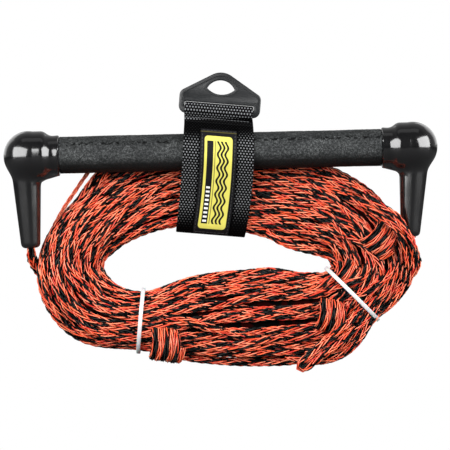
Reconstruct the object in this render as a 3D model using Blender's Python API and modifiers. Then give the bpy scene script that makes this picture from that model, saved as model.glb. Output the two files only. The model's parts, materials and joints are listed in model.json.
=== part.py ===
"""Tow rope handle, hung up with its rope coiled: grip, elbow caps, rope, ties, keeper strap, hanger.

Metres, +Z up. X runs along the handle and -Y is the front. The origin is the bottom centre of the
whole object. Most sizes below are given about the handle's axis, which lies at height AXIS_Z.
"""

import math

import bmesh
import bpy
from mathutils import Matrix, Vector

# ---------------------------------------------------------------- driving dimensions
AXIS_Y = -0.01216  # the handle's axis in the object's frame
AXIS_Z = 0.16386
GAP = 0.0003  # clearance between neighbouring pieces

# handle
GRIP_RADIUS = 0.0137
GRIP_HALF_LENGTH = 0.1195
CORE_RADIUS = 0.0110
CORE_WALL = 0.0015
CORE_HALF_LENGTH = 0.1345

# elbow cap, given for the right-hand end
BALL_X = 0.1427
BALL_RADIUS = 0.0182
NECK_RADIUS = 0.0146
NECK_START_X = GRIP_HALF_LENGTH + GAP
LEG_TOP_X = 0.1441
LEG_TIP_X = 0.1404
LEG_TIP_Z = -0.0675
LEG_TOP_RADIUS = 0.0118
LEG_TIP_RADIUS = 0.0067
LEG_TIP_BEVEL = 0.0022
BORE_START_X = 0.1100  # inside the grip, so that the bore is open at the neck
CHANNEL_START_X = 0.1250
CHANNEL_OVERRUN = 0.0040
GUSSET_HALF_DEPTH = 0.0085
GUSSET_OUTLINE = (  # fills the corner between neck and leg (x, z)
    (NECK_START_X, -0.0080),
    (BALL_X, -0.0080),
    (BALL_X, -0.0300),
    (0.1352, -0.0300),
    (0.1312, -0.0226),
    (NECK_START_X, -0.0149),
)

# rope
ROPE_RADIUS = 0.0031
ROPE_CHANNEL_RADIUS = 0.0037
BEND_RADIUS = 0.0130
MOUTH_LENGTH = 0.0022  # straight length of rope just below a leg
LEFT_TAIL = (  # from below the left leg to the back of the coil
    (-0.1412, 0.0050, -0.0758),
    (-0.1415, 0.0130, -0.0825),
    (-0.1385, 0.0240, -0.0910),
    (-0.1320, 0.0330, -0.1000),
)
RIGHT_TAIL = (
    (0.1432, 0.0025, -0.0765),
    (0.1446, 0.0070, -0.0850),
    (0.1430, 0.0150, -0.0940),
    (0.1370, 0.0270, -0.1030),
)

# coil: stations clockwise from the top, seen from the front. Each is the centre of the bundle
# (x, z), its half width in the plane of the coil, its middle and half thickness along Y, and how
# far the section leans back per metre of half width.
COIL_STATIONS = (
    (-0.0040, -0.0262, 0.0298, 0.0195, 0.0140, 0.21),
    (0.0560, -0.0375, 0.0335, 0.0185, 0.0145, 0.14),
    (0.0950, -0.0570, 0.0300, 0.0160, 0.0160, 0.00),
    (0.1095, -0.0860, 0.0285, 0.0145, 0.0170, -0.15),
    (0.0958, -0.1087, 0.0262, 0.0135, 0.0165, 0.00),
    (0.0720, -0.1220, 0.0325, 0.0135, 0.0150, 0.00),
    (0.0280, -0.1245, 0.0362, 0.0135, 0.0145, 0.00),
    (-0.0180, -0.1240, 0.0335, 0.0135, 0.0150, 0.00),
    (-0.0626, -0.1249, 0.0227, 0.0140, 0.0165, 0.00),
    (-0.0980, -0.1145, 0.0255, 0.0150, 0.0170, 0.00),
    (-0.1140, -0.0885, 0.0243, 0.0155, 0.0175, -0.25),
    (-0.1024, -0.0590, 0.0238, 0.0170, 0.0165, -0.10),
    (-0.0580, -0.0330, 0.0272, 0.0190, 0.0145, 0.12),
)
STEPS_PER_STATION = 4
SECTION_POINTS = 18
LEFT_TIE_STATION = 8
RIGHT_TIE_STATION = 4

# barrel wraps of the rope, swellings on the bundle: centre (x, z), reach and height
BARREL_WRAPS = (
    (-0.0430, -0.1440, 0.0125, 0.0055),
    (0.0815, -0.1255, 0.0125, 0.0050),
    (0.1180, -0.0700, 0.0120, 0.0050),
)

# loop at the boat end of the rope, over the lower right of the bundle
BOAT_LOOP_START = (0.0985, -0.0062, -0.1275)
BOAT_LOOP_TIP = (0.0575, -0.0062, -0.1572)
BOAT_LOOP_HALF_GAP = 0.0036

# cable ties
TIE_WIDTH = 0.0030
TIE_THICKNESS = 0.0012
TIE_HEAD = 0.0052
TIE_HEAD_WIDTH = 0.0042
TIE_CLEARANCE = 0.0010
TIE_SEGMENTS = 36

# keeper strap, in its own frame: tilted, with its middle crossing the handle's axis at STRAP_X
STRAP_X = -0.0038
STRAP_TILT = math.radians(6.0)
STRAP_WIDTH = 0.0508
PLY = 0.0012
BAR_Z = 0.0295  # the hanger's bar that the webbing turns round
LOOP_HALF_DEPTH = 0.0034  # of the webbing's turn round the bar
LOOP_RISE = 0.0052  # its height above the bar, so that it fills the slot
SEAM_Z = 0.0246  # where the two plies meet under the bar
UPPER_STITCH_Z = 0.0238
LOWER_STITCH_Z = 0.0220
SPLIT_Z = 0.0205  # where they part again
STRAP_CLEARANCE = 0.0009
TAIL_ROOT_Z = -0.0340
TAIL_END_Z = 0.0040
TAIL_ROOT_GAP = 0.0010
BACK_PLY_END_Z = -0.0260
LIFT_START_Z = -0.0520
LIFT_END_Z = -0.0380
PATH_STEP = 0.0030
CLOSE = 0.0002  # points nearer than this count as one
TAPE = 0.0013
TAPE_WIDTH = 0.0460
TAPE_INSET = 0.0015  # how far the tapes end inside the ends of the webbing
STITCH_INSET = 0.0020
THREAD_RADIUS = 0.0003

# label
LABEL_WIDTH = 0.0260
LABEL_TOP_Z = 0.0120
LABEL_BOTTOM_Z = -0.0570
LABEL_THICKNESS = 0.0006
LABEL_STITCH_INSET = 0.0015

# hanger, in the strap's frame
HANGER_THICKNESS = 0.0040
HANGER_APEX_Z = 0.0611  # where the sides would meet, above the rounded top
HANGER_APEX_RADIUS = 0.0140
HANGER_SIDE_SLOPE = 0.60
HANGER_SHOULDER_RADIUS = 0.0050
HANGER_FOOT_RADIUS = 0.0055
HANGER_EDGE = 0.0007
HANGER_HALF_WIDTH = 0.0303
HANGER_BOTTOM_Z = 0.0268
SLOT_HALF_WIDTH = 0.0262
SLOT_TOP_Z = 0.0364
SLOT_BOTTOM_Z = 0.0318
SLOT_RADIUS = 0.0010
EYE_Z = 0.0465
EYE_HALF_WIDTH = 0.0102
EYE_RISE = 0.0065
EYE_DROP = 0.0042
HANGER_CENTRE_X = 0.0004
PANEL_DEPTH = 0.0006
PANEL_INSET = 0.0024
PANEL_APEX_RADIUS = 0.0110
PANEL_SHOULDER_RADIUS = 0.0030
EYE_RIM = 0.0014

ROUND = 28  # segments of a round piece


# ---------------------------------------------------------------- scene helpers
def clear_scene():
    for obj in list(bpy.data.objects):
        bpy.data.objects.remove(obj, do_unlink=True)


def new_collection(name):
    collection = bpy.data.collections.new(name)
    bpy.context.scene.collection.children.link(collection)
    return collection


def new_empty(name, location, tilt=0.0):
    empty = bpy.data.objects.new(name, None)
    empty.location = location
    empty.rotation_euler = (0.0, tilt, 0.0)
    PARTS.objects.link(empty)
    return empty


def material(name, colour, roughness, metallic=0.0):
    mat = bpy.data.materials.new(name)
    mat.use_nodes = True
    shader = mat.node_tree.nodes["Principled BSDF"]
    shader.inputs["Base Color"].default_value = (*colour, 1.0)
    shader.inputs["Roughness"].default_value = roughness
    shader.inputs["Metallic"].default_value = metallic
    return mat


def add_object(name, data, parent, mat=None, collection=None):
    obj = bpy.data.objects.new(name, data)
    (collection or PARTS).objects.link(obj)
    obj.parent = parent
    if mat:
        data.materials.append(mat)
    return obj


def mesh_from(bm, name, smooth=True):
    mesh = bpy.data.meshes.new(name)
    bmesh.ops.recalc_face_normals(bm, faces=bm.faces)
    bm.to_mesh(mesh)
    bm.free()
    if smooth:
        mesh.shade_smooth()
        mesh.set_sharp_from_angle(angle=math.radians(35))
    return mesh


def as_tool(name, data, parent):
    """A solid that only cuts or adds to another one."""
    obj = add_object(name, data, parent, collection=TOOLS)
    obj.hide_render = True
    obj.display_type = "WIRE"
    return obj


def boolean(target, tool, operation):
    modifier = target.modifiers.new(tool.name, "BOOLEAN")
    modifier.operation = operation
    modifier.solver = "EXACT"
    modifier.object = tool


# ---------------------------------------------------------------- shape helpers
def cone_mesh(name, start, end, radius_start, radius_end, segments=ROUND):
    """A round bar or cone between two points."""
    start, end = Vector(start), Vector(end)
    axis = end - start
    turn = Vector((0, 0, 1)).rotation_difference(axis).to_matrix().to_4x4()
    place = Matrix.Translation((start + end) / 2) @ turn
    bm = bmesh.new()
    bmesh.ops.create_cone(
        bm,
        cap_ends=True,
        segments=segments,
        radius1=radius_start,
        radius2=radius_end,
        depth=axis.length,
        matrix=place,
    )
    return mesh_from(bm, name)


def plate_mesh(name, outlines, thickness, bevel=0.0):
    """A flat plate in XZ, centred on Y = 0; outlines after the first are its holes."""
    curve = bpy.data.curves.new(name, "CURVE")
    curve.dimensions = "2D"
    curve.fill_mode = "BOTH"
    curve.extrude = thickness / 2 - bevel
    curve.bevel_depth = bevel
    curve.bevel_resolution = 1
    curve.offset = -bevel
    for outline in outlines:
        spline = curve.splines.new("POLY")
        spline.points.add(len(outline) - 1)
        for point, (x, z) in zip(spline.points, outline):
            point.co = (x, z, 0.0, 1.0)
        spline.use_cyclic_u = True
    guide = bpy.data.objects.new(name + "_outline", curve)
    TOOLS.objects.link(guide)
    mesh = solid_mesh_of(guide, name)
    mesh.transform(Matrix.Rotation(math.radians(90), 4, "X"))
    return mesh


def solid_mesh_of(guide, name):
    """The evaluated mesh of a curve, with its caps welded; the curve is removed."""
    bpy.context.view_layer.update()
    evaluated = guide.evaluated_get(bpy.context.evaluated_depsgraph_get())
    mesh = bpy.data.meshes.new_from_object(evaluated)
    mesh.name = name
    bm = bmesh.new()
    bm.from_mesh(mesh)
    bmesh.ops.remove_doubles(bm, verts=bm.verts, dist=0.00002)
    bmesh.ops.recalc_face_normals(bm, faces=bm.faces)
    bm.to_mesh(mesh)
    bm.free()
    bpy.data.objects.remove(guide, do_unlink=True)
    return mesh


def wire_curve(name, points, radius, cyclic=False, bevel_resolution=1):
    """A round wire or rope along points."""
    curve = bpy.data.curves.new(name, "CURVE")
    curve.dimensions = "3D"
    curve.bevel_depth = radius
    curve.bevel_resolution = bevel_resolution
    curve.use_fill_caps = not cyclic
    spline = curve.splines.new("POLY")
    spline.points.add(len(points) - 1)
    for point, place in zip(spline.points, points):
        point.co = (*place, 1.0)
    spline.use_cyclic_u = cyclic
    return curve


def ribbon(name, path, width, thickness, parent, mat, cyclic=False):
    """Webbing or tape: a strip along a counterclockwise path in YZ, thickened outwards from it."""
    bm = bmesh.new()
    near = [bm.verts.new((-width / 2, y, z)) for y, z in path]
    far = [bm.verts.new((width / 2, y, z)) for y, z in path]
    count = len(path)
    for i in range(count if cyclic else count - 1):
        k = (i + 1) % count
        bm.faces.new((near[i], near[k], far[k], far[i]))
    mesh = bpy.data.meshes.new(name)
    bm.to_mesh(mesh)
    bm.free()
    obj = add_object(name, mesh, parent, mat)
    solidify = obj.modifiers.new("thickness", "SOLIDIFY")
    solidify.thickness = thickness
    solidify.offset = 1.0
    return obj


def catmull_rom(a, b, c, d, t):
    """Smooth curve through b and c."""
    out = []
    for p, q, r, s in zip(a, b, c, d):
        square = 2 * p - 5 * q + 4 * r - s
        cube = 3 * q - p - 3 * r + s
        out.append(0.5 * (2 * q + (r - p) * t + square * t**2 + cube * t**3))
    return tuple(out)


def arc_points(centre, radius, start_deg, end_deg, count):
    """Points on an arc, angle 0 along the first axis."""
    out = []
    for i in range(count):
        angle = math.radians(start_deg + (end_deg - start_deg) * i / (count - 1))
        out.append((centre[0] + radius * math.cos(angle), centre[1] + radius * math.sin(angle)))
    return out


# ---------------------------------------------------------------- handle
def core_tube(parent):
    """Aluminium tube: its wall as a closed profile, turned about X."""
    inner = CORE_RADIUS - CORE_WALL
    profile = (
        (inner, -CORE_HALF_LENGTH),
        (inner, CORE_HALF_LENGTH),
        (CORE_RADIUS, CORE_HALF_LENGTH),
        (CORE_RADIUS, -CORE_HALF_LENGTH),
    )
    return turned("core_tube", profile, parent, ALUMINIUM)


def grip_sleeve(parent):
    inner = CORE_RADIUS + GAP
    rounding = 0.0006
    profile = (
        (inner, -GRIP_HALF_LENGTH),
        (inner, GRIP_HALF_LENGTH),
        (GRIP_RADIUS - rounding, GRIP_HALF_LENGTH),
        (GRIP_RADIUS, GRIP_HALF_LENGTH - rounding),
        (GRIP_RADIUS, -GRIP_HALF_LENGTH + rounding),
        (GRIP_RADIUS - rounding, -GRIP_HALF_LENGTH),
    )
    return turned("grip_sleeve", profile, parent, RUBBER)


def turned(name, profile, parent, mat):
    """A closed profile (radius, x) turned about the X axis with a Screw modifier."""
    bm = bmesh.new()
    verts = [bm.verts.new((x, radius, 0.0)) for radius, x in profile]
    for i, vert in enumerate(verts):
        bm.edges.new((vert, verts[(i + 1) % len(verts)]))
    mesh = bpy.data.meshes.new(name)
    bm.to_mesh(mesh)
    bm.free()
    obj = add_object(name, mesh, parent, mat)
    screw = obj.modifiers.new("turn", "SCREW")
    screw.axis = "X"
    screw.angle = math.radians(360)
    screw.steps = ROUND
    screw.render_steps = ROUND
    screw.use_merge_vertices = True
    screw.merge_threshold = 0.00001
    return obj


def leg_x(z):
    """Where the leg's axis is at a height, for the right-hand leg."""
    return LEG_TOP_X + (LEG_TIP_X - LEG_TOP_X) * z / LEG_TIP_Z


def rope_path_inside():
    """The rope's middle from one leg's mouth, through the tube, to the other's."""
    bend_x = leg_x(-BEND_RADIUS) - BEND_RADIUS
    bend = [(x, 0.0, z) for x, z in arc_points((bend_x, -BEND_RADIUS), BEND_RADIUS, 90, 0, 7)]
    right = bend + [(leg_x(LEG_TIP_Z), 0.0, LEG_TIP_Z)]
    left = [(-x, y, z) for x, y, z in reversed(right)]
    return left + right


def end_cap(side, parent):
    """A moulded elbow: ball, neck over the tube, gusset and tapering leg, bored for tube and rope."""
    name = "end_cap_right" if side > 0 else "end_cap_left"
    centre = (side * BALL_X, 0, 0)
    bm = bmesh.new()
    bmesh.ops.create_uvsphere(
        bm,
        u_segments=ROUND,
        v_segments=ROUND // 2,
        radius=BALL_RADIUS,
        matrix=Matrix.Translation(centre),
    )
    cap = add_object(name, mesh_from(bm, name), parent, CAP_PLASTIC)
    neck = cone_mesh(name + "_neck", (side * NECK_START_X, 0, 0), centre, NECK_RADIUS, NECK_RADIUS)
    boolean(cap, as_tool(name + "_neck", neck, parent), "UNION")
    leg = cone_mesh(
        name + "_leg",
        (side * LEG_TOP_X, 0, 0),
        (side * LEG_TIP_X, 0, LEG_TIP_Z),
        LEG_TOP_RADIUS,
        LEG_TIP_RADIUS,
    )
    leg_tool = as_tool(name + "_leg", leg, parent)
    rounding = leg_tool.modifiers.new("tip", "BEVEL")
    rounding.width = LEG_TIP_BEVEL
    rounding.segments = 2
    boolean(cap, leg_tool, "UNION")
    outline = [(side * x, z) for x, z in GUSSET_OUTLINE]
    gusset = plate_mesh(name + "_gusset", [outline], 2 * GUSSET_HALF_DEPTH)
    boolean(cap, as_tool(name + "_gusset", gusset, parent), "UNION")
    bore_start = (side * BORE_START_X, 0, 0)
    bore_end = (side * (CORE_HALF_LENGTH + GAP), 0, 0)
    bore = cone_mesh(name + "_bore", bore_start, bore_end, CORE_RADIUS + GAP, CORE_RADIUS + GAP)
    boolean(cap, as_tool(name + "_bore", bore, parent), "DIFFERENCE")
    boolean(cap, rope_channel(name + "_channel", side, parent), "DIFFERENCE")
    return cap


def rope_channel(name, side, parent):
    """The hole that the rope takes from the tube down through the leg."""
    path = [p for p in rope_path_inside() if side * p[0] > 0]
    path = sorted(path, key=lambda p: p[2], reverse=True)
    path = [(side * CHANNEL_START_X, 0.0, 0.0)] + path
    mouth = Vector(path[-1])
    outward = (mouth - Vector(path[-2])).normalized()
    path.append(tuple(mouth + outward * CHANNEL_OVERRUN))
    curve = wire_curve(name, path, ROPE_CHANNEL_RADIUS, bevel_resolution=2)
    guide = bpy.data.objects.new(name + "_path", curve)
    TOOLS.objects.link(guide)
    return as_tool(name, solid_mesh_of(guide, name), parent)


def bridle(parent):
    """The rope inside the handle, and its two free lengths from the legs to the back of the coil."""
    inside = wire_curve("bridle_rope", rope_path_inside(), ROPE_RADIUS, bevel_resolution=2)
    add_object("bridle_rope", inside, parent, ROPE)
    mouth = [(leg_x(z), 0.0, z) for z in (LEG_TIP_Z - GAP, LEG_TIP_Z - MOUTH_LENGTH)]
    left_mouth = [(-x, y, z) for x, y, z in mouth]
    for name, points in (
        ("bridle_tail_left", left_mouth + list(LEFT_TAIL)),
        ("bridle_tail_right", mouth + list(RIGHT_TAIL)),
    ):
        run = points[:1] + smoothed(points[1:], 3)
        add_object(name, wire_curve(name, run, ROPE_RADIUS, bevel_resolution=2), parent, ROPE)


def smoothed(points, steps):
    """A smooth run through points, their ends kept."""
    ends = [points[0]] + list(points) + [points[-1]]
    out = []
    for i in range(len(points) - 1):
        out += [catmull_rom(*ends[i : i + 4], k / steps) for k in range(steps)]
    return out + [tuple(points[-1])]


# ---------------------------------------------------------------- coil
def coil_station(at):
    """The coil's station values at a number of stations from the top."""
    count = len(COIL_STATIONS)
    i = math.floor(at)
    around = [COIL_STATIONS[(i + k) % count] for k in (-1, 0, 1, 2)]
    return catmull_rom(*around, at - i)


def coil_frame(at):
    """Centre, outward direction and direction of the run at a station."""
    here = coil_station(at)
    before, after = coil_station(at - 0.05), coil_station(at + 0.05)
    run = Vector((after[0] - before[0], 0.0, after[1] - before[1])).normalized()
    outward = Vector((-run.z, 0.0, run.x))
    return here, outward, run


def coil_section(at, grow=0.0, count=SECTION_POINTS):
    """Points round the bundle at a station, grown by a clearance."""
    (x, z, half_width, y, half_depth, lean), outward, _ = coil_frame(at)
    points = []
    for i in range(count):
        angle = 2 * math.pi * i / count
        out = (half_width + grow) * math.cos(angle)
        back = (half_depth + grow) * math.sin(angle) + lean * out
        points.append(Vector((x, y + back, z)) + outward * out)
    return points


def wrap_swelling(point, middle_y):
    """How far a barrel wrap lifts the front of the bundle at a point."""
    if point.y > middle_y:
        return 0.0
    return sum(
        height * math.exp(-((point.x - x) ** 2 + (point.z - z) ** 2) / (reach**2))
        for x, z, reach, height in BARREL_WRAPS
    )


def rope_coil(parent):
    """The bundle as one ring solid, lofted through its stations."""
    bm = bmesh.new()
    rings = []
    steps = len(COIL_STATIONS) * STEPS_PER_STATION
    for i in range(steps):
        at = i / STEPS_PER_STATION
        middle_y = coil_station(at)[3]
        ring = coil_section(at)
        rings.append([bm.verts.new(p - Vector((0, wrap_swelling(p, middle_y), 0))) for p in ring])
    for i in range(steps):
        a, b = rings[i], rings[(i + 1) % steps]
        for k in range(SECTION_POINTS):
            m = (k + 1) % SECTION_POINTS
            bm.faces.new((a[k], a[m], b[m], b[k]))
    return add_object("rope_coil", mesh_from(bm, "rope_coil"), parent, ROPE)


def boat_loop(parent):
    """The loop at the boat end, laid flat over the lower right of the bundle."""
    start, tip = Vector(BOAT_LOOP_START), Vector(BOAT_LOOP_TIP)
    along = (tip - start).normalized()
    across = Vector((-along.z, 0.0, along.x)) * BOAT_LOOP_HALF_GAP
    points = [start + across, tip + across]
    turn_steps = 6
    for i in range(1, turn_steps):
        angle = math.pi * i / turn_steps
        points.append(tip + across * math.cos(angle) + along * BOAT_LOOP_HALF_GAP * math.sin(angle))
    points += [tip - across, start - across]
    add_object("boat_loop", wire_curve("boat_loop", points, ROPE_RADIUS, bevel_resolution=2), parent, ROPE)


def cable_tie(name, station, parent):
    """A cable tie: a flat band round the bundle with its head at the back."""
    (x, z, half_width, y, half_depth, _), outward, run = coil_frame(station)
    side = outward.cross(run)
    place = new_empty(name + "_place", (0, 0, 0))
    place.parent = parent
    place.matrix_local = Matrix.Translation((x, y, z)) @ Matrix((run, side, outward)).transposed().to_4x4()
    depth, width = half_depth + TIE_CLEARANCE, half_width + TIE_CLEARANCE
    turns = [2 * math.pi * i / TIE_SEGMENTS for i in range(TIE_SEGMENTS)]
    path = [(depth * math.cos(turn), width * math.sin(turn)) for turn in turns]
    band = ribbon(name, path, TIE_WIDTH, TIE_THICKNESS, place, NYLON, cyclic=True)
    back = 1.0 if side.y > 0 else -1.0
    head_y = back * (depth + TIE_THICKNESS / 2 + TIE_HEAD_WIDTH / 2)
    bm = bmesh.new()
    size = Matrix.Diagonal((TIE_HEAD, TIE_HEAD_WIDTH, TIE_HEAD, 1.0))
    bmesh.ops.create_cube(bm, size=1.0, matrix=Matrix.Translation((0, head_y, 0)) @ size)
    head = as_tool(name + "_head", mesh_from(bm, name + "_head", smooth=False), place)
    boolean(band, head, "UNION")


# ---------------------------------------------------------------- keeper strap
def convex_loop(points):
    """The convex hull of points (y, z), counterclockwise."""
    points = sorted(set(points))

    def half(run):
        chain = []
        for p in run:
            while len(chain) > 1 and turn_of(chain[-2], chain[-1], p) <= 0:
                chain.pop()
            chain.append(p)
        return chain[:-1]

    return half(points) + half(points[::-1])


def turn_of(a, b, c):
    return (b[0] - a[0]) * (c[1] - a[1]) - (b[1] - a[1]) * (c[0] - a[0])


def in_strap_frame(point):
    """A point about the handle's axis, as (across, y, up) in the strap's own frame."""
    x, z = point[0] - STRAP_X, point[2]
    cosine, sine = math.cos(STRAP_TILT), math.sin(STRAP_TILT)
    return x * cosine - z * sine, point[1], x * sine + z * cosine


def strap_loop():
    """The inner face of the strap's loop (y, z): a band pulled tight round the grip and the bundle."""
    touched = []
    reach = STRAP_WIDTH / 2 + 0.001
    for i in range(-12, 13):
        for point in coil_section(i / 10, STRAP_CLEARANCE, 48):
            across, y, up = in_strap_frame(point)
            if abs(across) < reach:
                touched.append((y, up))
    rise = reach * math.tan(STRAP_TILT)
    for across in (-rise, 0.0, rise):
        touched += arc_points((0.0, across), GRIP_RADIUS + STRAP_CLEARANCE, 0, 350, 36)
    return convex_loop([(0.0, SPLIT_Z)] + touched)


def resampled(path, step):
    """The path with points at an even spacing."""
    lengths = [0.0]
    for a, b in zip(path, path[1:]):
        lengths.append(lengths[-1] + math.dist(a, b))
    count = max(2, round(lengths[-1] / step))
    out = []
    k = 0
    for i in range(count + 1):
        s = lengths[-1] * i / count
        while k < len(path) - 2 and lengths[k + 1] < s:
            k += 1
        t = (s - lengths[k]) / (lengths[k + 1] - lengths[k])
        out.append(tuple(p + (q - p) * t for p, q in zip(path[k], path[k + 1])))
    return out


def offset_path(path, distance):
    """The path moved sideways, to the right of its run; distance may be a function of a point."""
    out = []
    for i, p in enumerate(path):
        a, b = path[max(i - 1, 0)], path[min(i + 1, len(path) - 1)]
        length = math.dist(a, b)
        normal = ((b[1] - a[1]) / length, -(b[0] - a[0]) / length)
        d = distance(p) if callable(distance) else distance
        out.append((p[0] + normal[0] * d, p[1] + normal[1] * d))
    return out


def loop_sides():
    """The loop's front, from the top down to its lowest point, and its back, from there up again."""
    loop = strap_loop()
    top = max(range(len(loop)), key=lambda i: loop[i][1])
    run = resampled(loop[top:] + loop[: top + 1], PATH_STEP)
    low = min(range(len(run)), key=lambda i: run[i][1])
    return run[: low + 1], run[low:]


def within(path, low_z, high_z):
    """The stretch of a path between two heights, cut exactly at them."""
    out = []
    for a, b in zip(path, path[1:]):
        cuts = [(z - a[1]) / (b[1] - a[1]) for z in (low_z, high_z) if (a[1] - z) * (b[1] - z) < 0]
        for t in sorted([0.0] + cuts + [1.0]):
            p = (a[0] + (b[0] - a[0]) * t, a[1] + (b[1] - a[1]) * t)
            inside = low_z - 1e-9 <= p[1] <= high_z + 1e-9
            if inside and (not out or math.dist(out[-1], p) > CLOSE):
                out.append(p)
    return out


def tail_offset():
    """How far the tail lies outside the loop: back ply, two tapes and the gaps between them."""
    return PLY + 2 * TAPE + 3 * GAP


def lift_to_tail(point):
    """The wrap climbs from the loop to the tail's level, over the end of the back ply."""
    t = (point[1] - LIFT_START_Z) / (LIFT_END_Z - LIFT_START_Z)
    t = min(1.0, max(0.0, t))
    return tail_offset() * t * t * (3 - 2 * t)


def keeper_webbing(front, back, parent):
    """One length of webbing: wrap, front ply, round the hanger's bar, and the short back ply."""
    wrap = within(offset_path(back, lift_to_tail), -1.0, TAIL_ROOT_Z - TAIL_ROOT_GAP)
    back_ply = within(back, BACK_PLY_END_Z, 1.0)
    turn = arc_points((0.0, 0.0), 1.0, -30, 210, 17)
    bar = [(LOOP_HALF_DEPTH * y, BAR_Z + (LOOP_RISE if z > 0 else LOOP_HALF_DEPTH) * z) for y, z in turn]
    seam = (SPLIT_Z + PLY, SEAM_Z)
    path = back_ply[:-1] + [(GAP / 2, z) for z in seam] + bar
    path += [(-GAP / 2, z) for z in reversed(seam)] + front[1:] + wrap[1:]
    ribbon("keeper_webbing", path, STRAP_WIDTH, PLY, parent, WEBBING)


def thread_loop(name, path, half_width, parent, mat):
    """A line of stitching round a patch, as one thread."""
    points = [(half_width, y, z) for y, z in path] + [(-half_width, y, z) for y, z in reversed(path)]
    add_object(name, wire_curve(name, points, THREAD_RADIUS, cyclic=True), parent, mat)


def closure(back, parent, hinge):
    """The back's hook-and-loop closure; the tail and what is sewn to it hang from the hinge."""
    loop_path = within(back, BACK_PLY_END_Z + TAPE_INSET, TAIL_END_Z - TAPE_INSET)
    ribbon("loop_tape", offset_path(loop_path, PLY + GAP), TAPE_WIDTH, TAPE, parent, TAPE_FABRIC)
    inner = offset_path(loop_path, -GAP - THREAD_RADIUS)
    thread_loop("loop_tape_stitch", inner, TAPE_WIDTH / 2 - STITCH_INSET, parent, THREAD)

    root = within(back, TAIL_ROOT_Z, 0.0)[0]
    hinge.location = (0.0, root[0] + tail_offset() + PLY / 2, TAIL_ROOT_Z)
    tail_path = within(back, TAIL_ROOT_Z + TAIL_ROOT_GAP, TAIL_END_Z)
    hook_path = within(back, BACK_PLY_END_Z, TAIL_END_Z - TAPE_INSET)
    for name, path, at, width, thickness, mat in (
        ("keeper_tail", tail_path, tail_offset(), STRAP_WIDTH, PLY, WEBBING),
        ("hook_tape", hook_path, PLY + 2 * GAP + TAPE, TAPE_WIDTH, TAPE, TAPE_FABRIC),
    ):
        piece = ribbon(name, offset_path(path, at), width, thickness, hinge, mat)
        piece.location = -hinge.location
    outer = offset_path(hook_path, tail_offset() + PLY + GAP + THREAD_RADIUS)
    thread_loop("hook_tape_stitch", outer, TAPE_WIDTH / 2 - STITCH_INSET, hinge, THREAD)
    PARTS.objects["hook_tape_stitch"].location = -hinge.location


def label(front, parent):
    """The woven patch on the front ply, with the thread that holds it."""
    path = within(front, LABEL_BOTTOM_Z, LABEL_TOP_Z)
    ribbon("label_patch", offset_path(path, PLY + GAP), LABEL_WIDTH, LABEL_THICKNESS, parent, LABEL)
    face = offset_path(path[1:-1], PLY + 2 * GAP + LABEL_THICKNESS + THREAD_RADIUS)
    thread_loop("label_stitch", face, LABEL_WIDTH / 2 - LABEL_STITCH_INSET, parent, THREAD)


def seam_stitches(parent):
    """Two rows of thread across the front, where the plies are sewn together under the bar."""
    y = -GAP / 2 - PLY - GAP - THREAD_RADIUS
    reach = STRAP_WIDTH / 2 - STITCH_INSET
    for name, z in (("fold_stitch_upper", UPPER_STITCH_Z), ("fold_stitch_lower", LOWER_STITCH_Z)):
        ends = [(-reach, y, z), (reach, y, z)]
        add_object(name, wire_curve(name, ends, THREAD_RADIUS), parent, THREAD)


# ---------------------------------------------------------------- hanger
def rounded_outline(corners, steps=5):
    """An outline through corners (x, z, radius), each rounded by an arc."""
    out = []
    for i, (x, z, radius) in enumerate(corners):
        here = Vector((x, z))
        before = (Vector(corners[i - 1][:2]) - here).normalized()
        after = (Vector(corners[(i + 1) % len(corners)][:2]) - here).normalized()
        half = before.angle(after) / 2
        centre = here + (before + after).normalized() * (radius / math.sin(half))
        reach = radius / math.tan(half)
        start, end = here + before * reach - centre, here + after * reach - centre
        sweep = start.angle_signed(end)
        for k in range(steps + 1):
            out.append(tuple(centre + Matrix.Rotation(-sweep * k / steps, 2) @ start))
    return out


def lens_outline(half_width, rise, drop, middle_z, steps=10):
    """An almond shape: an upper and a lower arc between two corners."""
    out = []
    for height, sign in ((rise, 1), (drop, -1)):
        radius = (half_width**2 + height**2) / (2 * height)
        reach = math.degrees(math.asin(half_width / radius))
        for k in range(steps):
            angle = math.radians(-reach + 2 * reach * k / steps)
            x = radius * math.sin(angle) * sign
            out.append((x, middle_z + sign * (height - radius + radius * math.cos(angle))))
    return out


def shifted(outline):
    return [(x + HANGER_CENTRE_X, z) for x, z in outline]


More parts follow.
